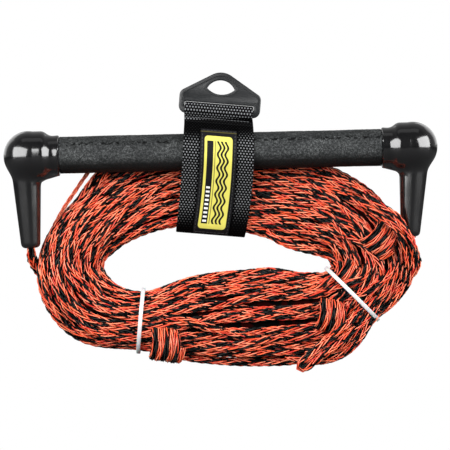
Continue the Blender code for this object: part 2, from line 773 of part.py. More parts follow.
def hanger(parent):
    """The moulded hanger: a rounded triangle with an eye, a webbing slot and a sunk front panel."""
    w = HANGER_HALF_WIDTH
    shoulder_z = HANGER_APEX_Z - HANGER_SIDE_SLOPE * w
    outer = [
        (0.0, HANGER_APEX_Z, HANGER_APEX_RADIUS),
        (w, shoulder_z, HANGER_SHOULDER_RADIUS),
        (w, HANGER_BOTTOM_Z, HANGER_FOOT_RADIUS),
        (-w, HANGER_BOTTOM_Z, HANGER_FOOT_RADIUS),
        (-w, shoulder_z, HANGER_SHOULDER_RADIUS),
    ]
    s = SLOT_HALF_WIDTH
    slot = [
        (s, SLOT_TOP_Z, SLOT_RADIUS),
        (s, SLOT_BOTTOM_Z, SLOT_RADIUS),
        (-s, SLOT_BOTTOM_Z, SLOT_RADIUS),
        (-s, SLOT_TOP_Z, SLOT_RADIUS),
    ]
    eye = lens_outline(EYE_HALF_WIDTH, EYE_RISE, EYE_DROP, EYE_Z)
    outlines = [shifted(rounded_outline(outer)), shifted(rounded_outline(slot, 2)), shifted(eye)]
    mesh = plate_mesh("hanger", outlines, HANGER_THICKNESS, HANGER_EDGE)
    body = add_object("hanger", mesh, parent, HANGER_PLASTIC)

    side = w - PANEL_INSET
    panel_shoulder_z = shoulder_z - PANEL_INSET / 2
    panel_foot_z = SLOT_TOP_Z + PANEL_INSET * 0.75
    panel = [
        (0.0, HANGER_APEX_Z - 1.2 * PANEL_INSET, PANEL_APEX_RADIUS),
        (side, panel_shoulder_z, PANEL_SHOULDER_RADIUS),
        (side, panel_foot_z, SLOT_RADIUS),
        (-side, panel_foot_z, SLOT_RADIUS),
        (-side, panel_shoulder_z, PANEL_SHOULDER_RADIUS),
    ]
    around_eye = lens_outline(EYE_HALF_WIDTH + 1.8 * EYE_RIM, EYE_RISE + EYE_RIM, EYE_DROP + EYE_RIM, EYE_Z)
    outlines = [shifted(rounded_outline(panel)), shifted(around_eye)]
    sunk = as_tool("hanger_panel", plate_mesh("hanger_panel", outlines, 2 * PANEL_DEPTH), parent)
    sunk.location = (0.0, -HANGER_THICKNESS / 2, 0.0)
    boolean(body, sunk, "DIFFERENCE")


def main():
    handle = new_empty("handle_axis", (0, AXIS_Y, AXIS_Z))
    strap = new_empty("strap_frame", (STRAP_X, AXIS_Y, AXIS_Z), STRAP_TILT)
    tail_hinge = new_empty("tail_hinge", (0, 0, 0))
    tail_hinge.parent = strap
    core_tube(handle)
    grip_sleeve(handle)
    end_cap(-1, handle)
    end_cap(1, handle)
    bridle(handle)
    rope_coil(handle)
    boat_loop(handle)
    cable_tie("tie_left", LEFT_TIE_STATION, handle)
    cable_tie("tie_right", RIGHT_TIE_STATION, handle)
    front, back = loop_sides()
    keeper_webbing(front, back, strap)
    closure(back, strap, tail_hinge)
    label(front, strap)
    seam_stitches(strap)
    hanger(strap)


clear_scene()
PARTS = new_collection("tow_rope_handle")
TOOLS = new_collection("tools")
ALUMINIUM = material("aluminium", (0.75, 0.76, 0.78), 0.35, 1.0)
RUBBER = material("grip_rubber", (0.055, 0.058, 0.060), 0.75)
CAP_PLASTIC = material("cap_plastic", (0.012, 0.012, 0.013), 0.12)
ROPE = material("rope", (0.58, 0.11, 0.07), 0.55)
NYLON = material("tie_nylon", (0.85, 0.86, 0.87), 0.4)
WEBBING = material("webbing", (0.015, 0.015, 0.016), 0.8)
TAPE_FABRIC = material("hook_and_loop", (0.012, 0.012, 0.013), 0.95)
LABEL = material("label", (0.02, 0.02, 0.02), 0.6)
THREAD = material("thread", (0.25, 0.25, 0.26), 0.6)
HANGER_PLASTIC = material("hanger_plastic", (0.018, 0.019, 0.020), 0.38)
main()
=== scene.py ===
"""Looks of the tow rope handle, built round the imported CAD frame.

Metres, +Z up, -Y is the front. Places are given about the handle's axis, x to the right, y to the
back, z up, and places on the strap in its own tilted frame: across it, y, and up it.
"""

import json
import math
import random

import bmesh
import bpy
import numpy as np
from mathutils import Matrix, Vector


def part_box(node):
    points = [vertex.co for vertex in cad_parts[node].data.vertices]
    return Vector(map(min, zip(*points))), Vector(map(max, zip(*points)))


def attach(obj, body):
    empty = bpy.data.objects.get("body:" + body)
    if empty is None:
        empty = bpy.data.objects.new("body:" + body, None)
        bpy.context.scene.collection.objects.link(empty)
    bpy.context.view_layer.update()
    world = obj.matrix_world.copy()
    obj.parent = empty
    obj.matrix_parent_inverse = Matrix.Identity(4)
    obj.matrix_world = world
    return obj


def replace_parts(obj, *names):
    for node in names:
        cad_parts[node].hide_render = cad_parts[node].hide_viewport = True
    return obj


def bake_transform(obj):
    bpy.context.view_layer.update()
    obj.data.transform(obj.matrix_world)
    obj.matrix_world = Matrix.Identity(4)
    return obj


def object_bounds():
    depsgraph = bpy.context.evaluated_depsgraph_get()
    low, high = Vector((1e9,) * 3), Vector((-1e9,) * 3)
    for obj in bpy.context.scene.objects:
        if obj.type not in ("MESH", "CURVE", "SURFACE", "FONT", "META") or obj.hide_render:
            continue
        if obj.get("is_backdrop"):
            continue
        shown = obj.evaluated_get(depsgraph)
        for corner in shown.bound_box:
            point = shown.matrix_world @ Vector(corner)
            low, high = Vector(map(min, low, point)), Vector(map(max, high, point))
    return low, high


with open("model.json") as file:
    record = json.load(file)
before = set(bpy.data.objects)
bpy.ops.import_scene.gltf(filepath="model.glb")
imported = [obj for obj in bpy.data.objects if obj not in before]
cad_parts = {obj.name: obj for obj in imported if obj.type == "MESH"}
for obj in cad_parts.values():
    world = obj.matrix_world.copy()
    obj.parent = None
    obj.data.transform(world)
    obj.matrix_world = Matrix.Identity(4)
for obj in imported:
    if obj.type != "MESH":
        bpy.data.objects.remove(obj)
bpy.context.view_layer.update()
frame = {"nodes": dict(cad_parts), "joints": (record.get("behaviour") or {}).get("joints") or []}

# ---------------------------------------------------------------- places taken from the frame
JOINTS = {joint["name"]: joint for joint in frame["joints"]}
AXIS = Vector(JOINTS["handle_swing"]["pos_m"])
BAR = Vector(JOINTS["hanger_tilt"]["pos_m"])
ACROSS = Vector(JOINTS["hanger_tilt"]["axis"]).normalized()
UP = Vector((-ACROSS.z, 0.0, ACROSS.x))
GRIP_LO, GRIP_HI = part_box("grip_sleeve")
GRIP_RADIUS = (GRIP_HI.z - GRIP_LO.z) / 2
GRIP_HALF_LENGTH = (GRIP_HI.x - GRIP_LO.x) / 2
CORE_LO, CORE_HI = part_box("core_tube")
CORE_RADIUS = (CORE_HI.z - CORE_LO.z) / 2

# ---------------------------------------------------------------- driving dimensions
GAP = 0.0003

# rope: a round braid of sixteen strands, eight each way, over two and under two
ROPE_RADIUS = 0.0032
BRAID_PITCH = 0.0580  # length in which a strand goes once round
WAYS = 8  # strands each way
STRAND_HALF_ANGLE = 0.375
STRAND_LIFT = 0.00045  # how far a strand rises and dips over and under the others
STRAND_RIDGE = 0.00080  # height of a strand's middle over its edges
STRAND_HALF_WIDTH = 0.0012  # in the coordinates the yarns are drawn with
DARK_STRANDS = (0, 1, 4, 5, 8, 12, 13)  # of the sixteen
RING_STEP = BRAID_PITCH / 22

# coil: stations clockwise from the top. Each is the bundle's centre (x, z), its half width in the
# plane of the coil, its middle and half thickness along Y, and how far the section leans back.
COIL_STATIONS = np.array(
    (
        (-0.0040, -0.0262, 0.0298, 0.0195, 0.0140, 0.21),
        (0.0560, -0.0375, 0.0335, 0.0185, 0.0145, 0.14),
        (0.0950, -0.0570, 0.0300, 0.0160, 0.0160, 0.00),
        (0.1095, -0.0860, 0.0285, 0.0145, 0.0170, -0.15),
        (0.0958, -0.1087, 0.0262, 0.0135, 0.0165, 0.00),
        (0.0720, -0.1220, 0.0325, 0.0135, 0.0150, 0.00),
        (0.0280, -0.1245, 0.0362, 0.0135, 0.0145, 0.00),
        (-0.0180, -0.1240, 0.0335, 0.0135, 0.0150, 0.00),
        (-0.0626, -0.1249, 0.0227, 0.0140, 0.0165, 0.00),
        (-0.0985, -0.1150, 0.0262, 0.0150, 0.0170, 0.00),
        (-0.1145, -0.0887, 0.0252, 0.0155, 0.0175, -0.25),
        (-0.1024, -0.0590, 0.0238, 0.0170, 0.0165, -0.10),
        (-0.0580, -0.0330, 0.0272, 0.0190, 0.0145, 0.12),
    )
)
STATION_COUNT = len(COIL_STATIONS)
TURNS = 28  # runs of rope round the outside of the bundle
TURNS_PER_PIECE = 7
LEFT_TIE_STATION = 8
RIGHT_TIE_STATION = 4

# strap, in its own frame
BAR_Z = 0.0295
STRAP_WIDTH = 0.0508
PLY = 0.0012
LOOP_HALF_DEPTH = 0.0034
LOOP_RISE = 0.0048
SEAM_Z = 0.0246
SPLIT_Z = 0.0205
STRAP_CLEARANCE = 0.0009
TAIL_ROOT_Z = -0.0340
TAIL_END_Z = 0.0040
TAIL_ROOT_GAP = 0.0010
BACK_PLY_END_Z = -0.0260
LIFT_START_Z = -0.0520
LIFT_END_Z = -0.0380
TAPE = 0.0013
TAPE_WIDTH = 0.0460
WEAVE_PITCH = 0.00195
WARP_PITCH = 0.0022
SAG = 0.0029  # how far the strap is pulled to its right
WIDENING = 0.045  # how much wider it is drawn there
LABEL_WIDTH = 0.0260
LABEL_TOP_Z = 0.0145
LABEL_BOTTOM_Z = -0.0600
LABEL_THICKNESS = 0.0006

# handle, from its axis; the caps along x outwards
FLECK_LINE_Z = 0.0077
BALL_X = 0.1427
BALL_RADIUS = 0.0185
DRUM_RADIUS = 0.0182
NECK_RADIUS = 0.0146
SHOULDER_X = 0.1267
LEG_TOP_RADIUS = 0.0118
LEG_TIP_RADIUS = 0.0070
ROPE_HOLE_RADIUS = 0.0037

STRAP = BAR - UP * BAR_Z
RANDOM = random.Random(7)


# ---------------------------------------------------------------- materials
def new_material(name):
    mat = bpy.data.materials.new(name)
    mat.use_nodes = True
    return mat


def node(mat, kind, inputs=None, **properties):
    """A new node; an input is a value or a socket to link."""
    made = mat.node_tree.nodes.new(kind)
    for key, value in properties.items():
        setattr(made, key, value)
    for key, value in (inputs or {}).items():
        feed(mat, made.inputs[key], value)
    return made


def feed(mat, socket, value):
    if isinstance(value, bpy.types.NodeSocket):
        mat.node_tree.links.new(value, socket)
    else:
        socket.default_value = value


def shaded(mat, **inputs):
    """The material with inputs of its shader set; an underscore stands for a space."""
    shader = mat.node_tree.nodes["Principled BSDF"]
    for key, value in inputs.items():
        feed(mat, shader.inputs[key.replace("_", " ")], value)
    return mat


def rgb(red, green, blue):
    return (red, green, blue, 1.0)


def attribute(mat, name):
    return node(mat, "ShaderNodeAttribute", attribute_name=name)


def scaled(mat, vector, factors):
    return node(mat, "ShaderNodeVectorMath", {0: vector, 1: factors}, operation="MULTIPLY").outputs[0]


def noise(mat, vector, scale, detail=2.0, roughness=0.5):
    inputs = {"Vector": vector, "Scale": scale, "Detail": detail, "Roughness": roughness}
    return node(mat, "ShaderNodeTexNoise", inputs).outputs["Fac"]


def ramp(mat, value, low, high, to_low=0.0, to_high=1.0):
    inputs = {"Value": value, "From Min": low, "From Max": high, "To Min": to_low, "To Max": to_high}
    return node(mat, "ShaderNodeMapRange", inputs).outputs[0]


def mixed(mat, factor, first, second, blend="MIX"):
    """Two colours mixed; 6 and 7 are the node's colour inputs, 2 its colour output."""
    made = node(mat, "ShaderNodeMix", data_type="RGBA", blend_type=blend)
    feed(mat, made.inputs["Factor"], factor)
    feed(mat, made.inputs[6], first)
    feed(mat, made.inputs[7], second)
    return made.outputs[2]


def maths(mat, operation, *values):
    return node(mat, "ShaderNodeMath", dict(enumerate(values)), operation=operation).outputs[0]


def plus(mat, first, second):
    return maths(mat, "ADD", first, second)


def minus(mat, first, second):
    return maths(mat, "SUBTRACT", first, second)


def times(mat, first, second):
    return maths(mat, "MULTIPLY", first, second)


def larger(mat, first, second):
    return maths(mat, "MAXIMUM", first, second)


def size_of(mat, value):
    return maths(mat, "ABSOLUTE", value)


def part_of(mat, vector, index):
    """The x, y or z of a vector."""
    return node(mat, "ShaderNodeSeparateXYZ", {0: vector}).outputs[index]


def bump(mat, height, distance, strength=1.0):
    inputs = {"Height": height, "Distance": distance, "Strength": strength}
    return node(mat, "ShaderNodeBump", inputs).outputs[0]


def place_in_object(mat):
    return node(mat, "ShaderNodeTexCoord").outputs["Object"]


def rope_material():
    """Shiny split-film yarns, red to orange or black, with painted highlights on their crests and painted
    shade in the valleys between them.
    """
    mat = new_material("rope_braid")
    strand = attribute(mat, "strand").outputs["Vector"]
    dark = attribute(mat, "dark").outputs["Fac"]
    fibres = noise(mat, scaled(mat, strand, (90.0, 1100.0, 9.0)), 1.0, 1.0, 0.5)
    broad = noise(mat, scaled(mat, strand, (70.0, 600.0, 5.0)), 1.0, 1.0)
    yarns = maths(mat, "COSINE", times(mat, part_of(mat, strand, 1), math.pi / (2 * STRAND_HALF_WIDTH)))
    red = mixed(mat, ramp(mat, broad, 0.38, 0.64), rgb(0.56, 0.016, 0.011), rgb(0.90, 0.105, 0.028))
    # painted highlight: the yarns' crests are coloured pale orange on red strands and dark grey on black ones
    painted_crest_highlight = times(mat, ramp(mat, yarns, 0.72, 0.99), ramp(mat, fibres, 0.42, 0.60))
    red = mixed(mat, painted_crest_highlight, red, rgb(1.0, 0.37, 0.21))
    black = mixed(mat, painted_crest_highlight, rgb(0.0016, 0.0018, 0.0019), rgb(0.036, 0.040, 0.040))
    bare = mixed(mat, dark, red, black)
    # painted shade: the colour is darkened towards the valleys between the yarns, down to 6 %
    shade = ramp(mat, yarns, 0.10, 0.72, 0.06, 1.0)
    height = plus(mat, times(mat, fibres, 0.5), yarns)
    sheen = ramp(mat, yarns, 0.2, 0.95, 0.02, 0.40)
    sheen = times(mat, sheen, ramp(mat, dark, 0.0, 1.0, 1.0, 0.09))
    return shaded(
        mat,
        Base_Color=mixed(mat, 1.0, bare, shade, "MULTIPLY"),
        Roughness=ramp(mat, fibres, 0.3, 0.7, 0.44, 0.30),
        Specular_IOR_Level=sheen,
        Normal=bump(mat, height, 0.0004, 0.8),
    )


def rope_core_material():
    """The runs deeper in the bundle, seen only in the gaps, coloured near-black as painted shade."""
    mat = new_material("rope_core_painted_shade")
    place = place_in_object(mat)
    patches = noise(mat, place, 130.0, 3.0)
    # painted shade: the inner runs are coloured near-black with faint dark red patches
    colour = mixed(mat, ramp(mat, patches, 0.46, 0.54), rgb(0.002, 0.002, 0.002), rgb(0.020, 0.002, 0.002))
    relief = bump(mat, patches, 0.0015)
    return shaded(mat, Base_Color=colour, Roughness=0.9, Specular_IOR_Level=0.0, Normal=relief)


def rope_inside_material():
    """The rope where it runs hidden in the handle: the braid as diagonal bands."""
    mat = new_material("rope_inside")
    place = place_in_object(mat)
    inputs = {"Vector": place, "Scale": 38.0, "Distortion": 2.0}
    bands = node(mat, "ShaderNodeTexWave", inputs, bands_direction="DIAGONAL").outputs["Fac"]
    colour = mixed(mat, ramp(mat, bands, 0.35, 0.45), rgb(0.012, 0.012, 0.013), rgb(0.75, 0.08, 0.03))
    return shaded(mat, Base_Color=colour, Roughness=0.45, Normal=bump(mat, bands, 0.0006))


def cap_material():
    """Glossy moulded black plastic with faint flow marks."""
    mat = new_material("cap_plastic")
    place = place_in_object(mat)
    flow = noise(mat, place, 60.0, 2.0)
    specks = noise(mat, place, 900.0, 1.0)
    return shaded(
        mat,
        Base_Color=mixed(mat, flow, rgb(0.0030, 0.0030, 0.0034), rgb(0.0060, 0.0060, 0.0064)),
        Roughness=ramp(mat, flow, 0.3, 0.7, 0.13, 0.20),
        Normal=bump(mat, plus(mat, flow, times(mat, specks, 0.06)), 0.0004, 0.35),
        Specular_IOR_Level=0.5,
        Coat_Weight=1.0,
        Coat_IOR=1.50,
        Coat_Roughness=0.12,
    )


def grip_material():
    """Grained rubber: pebbles with pits darkened as painted shade, random dust-grey worn patches, and painted
    shade on its underside, its lower band and its top.
    """
    mat = new_material("grip_rubber")
    place = place_in_object(mat)
    inputs = {"Vector": place, "Scale": 1150.0}
    pebbles = node(mat, "ShaderNodeTexVoronoi", inputs).outputs["Distance"]
    fine = noise(mat, place, 2400.0, 2.0)
    wear = noise(mat, scaled(mat, place, (0.5, 1.0, 1.0)), 140.0, 4.0, 0.65)
    coarse = noise(mat, place, 620.0, 3.0, 0.7)
    worn_and_shaded = mixed(mat, ramp(mat, wear, 0.40, 0.66), rgb(0.050, 0.053, 0.055), rgb(0.118, 0.124, 0.125))
    worn_and_shaded = mixed(mat, ramp(mat, coarse, 0.42, 0.62, 0.80, 0.0), worn_and_shaded, rgb(0.008, 0.009, 0.009))
    height = minus(mat, part_of(mat, place, 2), AXIS.z + FLECK_LINE_Z)
    flecks = ramp(mat, noise(mat, scaled(mat, place, (420.0, 60.0, 900.0)), 1.0, 1.0), 0.46, 0.56)
    near_line = ramp(mat, size_of(mat, height), 0.0006, 0.0022, 1.0, 0.0)
    flecks = times(mat, flecks, near_line)
    worn_and_shaded = mixed(mat, flecks, worn_and_shaded, rgb(0.004, 0.004, 0.004))
    # painted shade: surfaces facing down are darkened towards black
    facing = part_of(mat, node(mat, "ShaderNodeNewGeometry").outputs["Normal"], 2)
    worn_and_shaded = mixed(mat, ramp(mat, facing, -0.85, -0.25, 0.85, 0.0), worn_and_shaded, rgb(0.004, 0.004, 0.004))
    # painted shade: a band towards the bottom of the grip is darkened
    low = ramp(mat, height, -0.0165, -0.0105, 0.75, 0.0)
    worn_and_shaded = mixed(mat, low, worn_and_shaded, rgb(0.006, 0.006, 0.006))
    dull = larger(mat, larger(mat, flecks, low), ramp(mat, coarse, 0.40, 0.60, 0.55, 0.0))
    # painted shade: the top, above the fleck line, is darkened towards dark grey
    worn_and_shaded = mixed(mat, ramp(mat, height, 0.0000, 0.0020, 0.0, 0.35), worn_and_shaded, rgb(0.020, 0.021, 0.021))
    # painted shade: the pits between the pebbles are darkened
    colour = mixed(mat, ramp(mat, pebbles, 0.25, 0.75, 0.0, 0.75), worn_and_shaded, rgb(0.010, 0.011, 0.011))
    grain = plus(mat, times(mat, pebbles, -1.0), times(mat, fine, 0.35))
    return shaded(
        mat,
        Base_Color=colour,
        Roughness=ramp(mat, wear, 0.3, 0.7, 0.50, 0.66),
        Specular_IOR_Level=ramp(mat, dull, 0.0, 1.0, 0.20, 0.01),
        Normal=bump(mat, grain, 0.00040, 0.9),
    )


def webbing_material():
    """Black woven nylon: ribs across the strap, each broken into dots by the warp; the rib tops carry a
    painted highlight, dimmed beside the label and lower down, and halved by painted shade where the strap
    turns over the grip.
    """
    mat = new_material("webbing")
    weave = attribute(mat, "weave").outputs["Vector"]
    across, along = part_of(mat, weave, 0), part_of(mat, weave, 1)
    rows = times(mat, along, 1.0 / WEAVE_PITCH)
    ribs = size_of(mat, maths(mat, "SINE", times(mat, rows, math.pi)))
    odd = times(mat, maths(mat, "FLOOR", rows), math.pi)
    dots = maths(mat, "SINE", plus(mat, times(mat, across, 2 * math.pi / WARP_PITCH), odd))
    # painted highlight: the rib tops, broken into dots by the warp, are coloured pale grey against the black
    lit = times(mat, ribs, ramp(mat, dots, -1.0, 1.0, 0.25, 1.0))
    threads = noise(mat, scaled(mat, weave, (5200.0, 700.0, 1.0)), 1.0, 2.0)
    middle = size_of(mat, across)
    height = minus(mat, part_of(mat, place_in_object(mat), 2), AXIS.z)
    # the painted rib highlights are dimmed beside the label below its top, and towards the strap's lower end
    beside_label = ramp(mat, middle, 0.0120, 0.0150, 0.35, 1.0)
    rib_highlight_share = larger(mat, beside_label, ramp(mat, height, LABEL_TOP_Z, LABEL_TOP_Z + 0.0015))
    rib_highlight_share = times(mat, rib_highlight_share, ramp(mat, height, -0.056, -0.040, 0.45, 1.0))
    # painted shade: the rib highlights fade to half from 6 to 15 mm above the axis and stay halved up to just
    # under the seam rows, where the strap turns over the grip
    painted_shade_below_seam = ramp(mat, height, 0.0060, 0.0150, 1.0, 0.50)
    painted_shade_below_seam = larger(mat, painted_shade_below_seam, ramp(mat, height, 0.0225, 0.0245))
    lit = times(mat, lit, times(mat, rib_highlight_share, painted_shade_below_seam))
    colour = mixed(mat, ramp(mat, lit, 0.45, 0.95), rgb(0.0008, 0.0008, 0.0009), rgb(0.185, 0.192, 0.200))
    relief = plus(mat, lit, times(mat, threads, 0.3))
    return shaded(
        mat,
        Base_Color=colour,
        Roughness=ramp(mat, threads, 0.3, 0.7, 0.52, 0.70),
        Specular_IOR_Level=ramp(mat, lit, 0.2, 0.9, 0.02, 0.30),
        Normal=bump(mat, relief, 0.00025, 0.8),
    )


def tape_material(name, hooks):
    """Hook tape has rows of tiny hooks, loop tape a matted pile."""
    mat = new_material(name)
    weave = attribute(mat, "weave").outputs["Vector"]
    if hooks:
        inputs = {"Vector": weave, "Scale": 800.0, "Randomness": 0.15}
        height = node(mat, "ShaderNodeTexVoronoi", inputs).outputs["Distance"]
    else:
        height = noise(mat, weave, 1500.0, 5.0, 0.75)
    colour = mixed(mat, ramp(mat, height, 0.2, 0.8), rgb(0.018, 0.018, 0.019), rgb(0.005, 0.005, 0.006))
    relief = bump(mat, height, 0.0006)
    return shaded(mat, Base_Color=colour, Roughness=0.9, Normal=relief, Sheen_Weight=0.3)


def band(mat, distance, half):
    """One inside a band about zero, nought outside."""
    return ramp(mat, size_of(mat, distance), half - 0.0001, half + 0.0001, 1.0, 0.0)


def label_material():
    """A woven patch: black ground, a yellow panel with a black rail and black waves; no lettering."""
    mat = new_material("woven_label")
    weave = attribute(mat, "weave").outputs["Vector"]
    across, along = part_of(mat, weave, 0), part_of(mat, weave, 1)
    panel_middle, panel_half_width, panel_half_height, corner = -0.0234, 0.0103, 0.0343, 0.0026
    middle = minus(mat, along, panel_middle)
    reach = size_of(mat, middle)
    dx = larger(mat, minus(mat, size_of(mat, across), panel_half_width - corner), 0.0)
    dz = larger(mat, minus(mat, reach, panel_half_height - corner), 0.0)
    rim = maths(mat, "SQRT", plus(mat, maths(mat, "POWER", dx, 2.0), maths(mat, "POWER", dz, 2.0)))
    panel = ramp(mat, rim, corner - 0.0001, corner + 0.0001, 1.0, 0.0)
    rail_x, rail_half, line_x, line_half = -0.0061, 0.0023, -0.0024, 0.00022
    from_rail = minus(mat, across, rail_x)
    marks = larger(mat, band(mat, from_rail, rail_half), band(mat, minus(mat, across, line_x), line_half))
    wave_pitch, wave_swell, wave_half = 0.0098, 0.0010, 0.00080
    swell = times(mat, maths(mat, "SINE", times(mat, along, 2 * math.pi / wave_pitch)), wave_swell)
    for wave_x in (0.0006, 0.0034, 0.0062):
        from_wave = minus(mat, across, plus(mat, swell, wave_x))
        marks = larger(mat, marks, band(mat, from_wave, wave_half))
    ends = ramp(mat, reach, 0.0305, 0.0307, 1.0, 0.0)
    marks = times(mat, marks, ends)
    tick_pitch, tick_half = 0.0031, 0.0014
    tick_rows = maths(mat, "SINE", times(mat, along, 2 * math.pi / tick_pitch))
    ticks = times(mat, ramp(mat, tick_rows, 0.0, 0.2), band(mat, from_rail, tick_half))
    lower_half = ramp(mat, middle, -0.0022, -0.0020, 1.0, 0.0)
    ticks = times(mat, ticks, times(mat, ends, lower_half))
    edge_z, edge_half = 0.0139, 0.0003
    edge = times(mat, band(mat, minus(mat, along, edge_z), edge_half), 0.45)
    threads = noise(mat, scaled(mat, weave, (6500.0, 1500.0, 1.0)), 1.0, 2.0)
    yellow = mixed(mat, threads, rgb(0.58, 0.52, 0.070), rgb(0.68, 0.63, 0.150))
    black = mixed(mat, threads, rgb(0.002, 0.002, 0.003), rgb(0.008, 0.008, 0.009))
    printed = mixed(mat, ticks, mixed(mat, marks, yellow, black), rgb(0.80, 0.80, 0.78))
    ground = mixed(mat, edge, black, rgb(0.16, 0.14, 0.03))
    return shaded(
        mat,
        Base_Color=mixed(mat, panel, ground, printed),
        Roughness=0.60,
        Specular_IOR_Level=0.15,
        Normal=bump(mat, threads, 0.0002, 0.5),
    )


def thread_material(name, low, high):
    mat = new_material(name)
    twist = noise(mat, place_in_object(mat), 3500.0, 2.0)
    colour = mixed(mat, twist, low, high)
    return shaded(mat, Base_Color=colour, Roughness=0.5, Normal=bump(mat, twist, 0.0001))


def hanger_material():
    """Satin moulded plastic, its rounded edges darkened as painted shade."""
    mat = new_material("hanger_plastic")
    place = place_in_object(mat)
    grain = noise(mat, place, 1400.0, 2.0)
    cloud = noise(mat, place, 90.0, 2.0)
    edge = node(mat, "ShaderNodeNewGeometry").outputs["Pointiness"]
    base = mixed(mat, cloud, rgb(0.004, 0.005, 0.006), rgb(0.010, 0.011, 0.012))
    # painted shade: the rounded edges are darkened
    colour = mixed(mat, ramp(mat, edge, 0.52, 0.60, 0.0, 0.5), base, rgb(0.003, 0.003, 0.003))
    return shaded(
        mat,
        Base_Color=colour,
        Roughness=ramp(mat, cloud, 0.3, 0.7, 0.34, 0.44),
        Normal=bump(mat, grain, 0.0001, 0.5),
    )


def tie_material():
    """Natural nylon: white, waxy, faintly see-through."""
    mat = new_material("tie_nylon")
    cloud = noise(mat, place_in_object(mat), 260.0, 2.0)
    return shaded(
        mat,
        Base_Color=mixed(mat, cloud, rgb(0.52, 0.53, 0.54), rgb(0.66, 0.66, 0.66)),
        Roughness=ramp(mat, cloud, 0.3, 0.7, 0.28, 0.40),
        Subsurface_Weight=0.25,
        Subsurface_Scale=0.002,
        Normal=bump(mat, cloud, 0.0002, 0.4),
    )


def tube_material():
    """Drawn aluminium, with faint lines along the tube."""
    mat = new_material("aluminium")
    lines = noise(mat, scaled(mat, place_in_object(mat), (4.0, 900.0, 900.0)), 1.0, 3.0)
    return shaded(
        mat,
        Base_Color=mixed(mat, lines, rgb(0.62, 0.63, 0.65), rgb(0.80, 0.81, 0.83)),
        Metallic=1.0,
        Roughness=ramp(mat, lines, 0.3, 0.7, 0.25, 0.45),
    )


# ---------------------------------------------------------------- mesh helpers
def object_from(name, mesh, mat, body, smooth_angle=40.0):
    """Links a mesh as a piece that rides on a CAD body."""
    mesh.materials.clear()
    mesh.materials.append(mat)
    mesh.shade_smooth()
    if smooth_angle < 180.0:
        mesh.set_sharp_from_angle(angle=math.radians(smooth_angle))
    obj = linked(name, mesh)
    if body:
        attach(obj, body)
    return obj


def mesh_of(name, verts, faces, attributes=None):
    """A mesh from an array of points and a list or array of faces, with its point attributes."""
    mesh = bpy.data.meshes.new(name)
    faces = faces.tolist() if isinstance(faces, np.ndarray) else faces
    mesh.from_pydata(verts.tolist() if isinstance(verts, np.ndarray) else verts, [], faces)
    for key, values in (attributes or {}).items():
        values = np.asarray(values, np.float32)
        kind, field = ("FLOAT_VECTOR", "vector") if values.ndim == 2 else ("FLOAT", "value")
        mesh.attributes.new(key, kind, "POINT").data.foreach_set(field, values.ravel())
    bm = bmesh.new()
    bm.from_mesh(mesh)
    bmesh.ops.recalc_face_normals(bm, faces=bm.faces)
    bm.to_mesh(mesh)
    bm.free()
    return mesh


def evaluated_mesh(obj, name):
    """The object's mesh with its modifiers applied; the object is removed."""
    bpy.context.view_layer.update()
    evaluated = obj.evaluated_get(bpy.context.evaluated_depsgraph_get())
    mesh = bpy.data.meshes.new_from_object(evaluated)
    mesh.name = name
    bpy.data.objects.remove(obj, do_unlink=True)
    return mesh


def linked(name, data):
    """A new object in the scene."""
    obj = bpy.data.objects.new(name, data)
    bpy.context.scene.collection.objects.link(obj)
    return obj


def combined(obj, tools, operation):
    """The object's mesh joined with or cut by other objects; all of them are removed."""
    for tool in tools:
        step = obj.modifiers.new(tool.name, "BOOLEAN")
        step.operation = operation
        step.object = tool
    mesh = evaluated_mesh(obj, obj.name)
    for tool in tools:
        bpy.data.objects.remove(tool, do_unlink=True)
    return mesh


def mesh_from(name, bm):
    mesh = bpy.data.meshes.new(name)
    bm.to_mesh(mesh)
    bm.free()
    return mesh


def about_axis(x, y, z):
    return AXIS + Vector((x, y, z))


def unit(vectors):
    return vectors / np.linalg.norm(vectors, axis=-1, keepdims=True)


def smooth_step(t):
    t = np.clip(t, 0.0, 1.0)
    return t * t * (3 - 2 * t)


def catmull_rom(a, b, c, d, t):
    return 0.5 * (2 * b + (c - a) * t + (2 * a - 5 * b + 4 * c - d) * t**2 + (3 * b - a - 3 * c + d) * t**3)


def smooth_run(points, steps=12):
    """A smooth run through points, their ends kept."""
    points = np.array(points, float)
    ends = np.vstack([2 * points[0] - points[1], points, 2 * points[-1] - points[-2]])
    t = (np.arange(steps) / steps)[:, None]
    parts = [catmull_rom(*ends[i : i + 4], t) for i in range(len(points) - 1)]
    return np.vstack(parts + [points[-1:]])


def lengths_along(points):
    return np.concatenate([[0.0], np.cumsum(np.linalg.norm(np.diff(points, axis=0), axis=1))])


def evenly(points, step):
    """The same run with its points at an even spacing."""
    lengths = lengths_along(points)
    count = max(2, round(lengths[-1] / step))
    at = np.linspace(0.0, lengths[-1], count + 1)
    return np.stack([np.interp(at, lengths, points[:, k]) for k in range(points.shape[1])], 1)


def carried_frames(points):
    """Tangents and two side directions that turn as little as they can along a run."""
    tangents = unit(np.gradient(points, axis=0))
    side = np.cross(tangents[0], (0.0, 1.0, 0.0))
    if np.linalg.norm(side) < 0.1:
        side = np.cross(tangents[0], (1.0, 0.0, 0.0))
    sides = []
    for tangent in tangents:
        side = side - tangent * (side @ tangent)
        side = side / np.linalg.norm(side)
        sides.append(side)
    sides = np.array(sides)
    return tangents, sides, np.cross(tangents, sides)


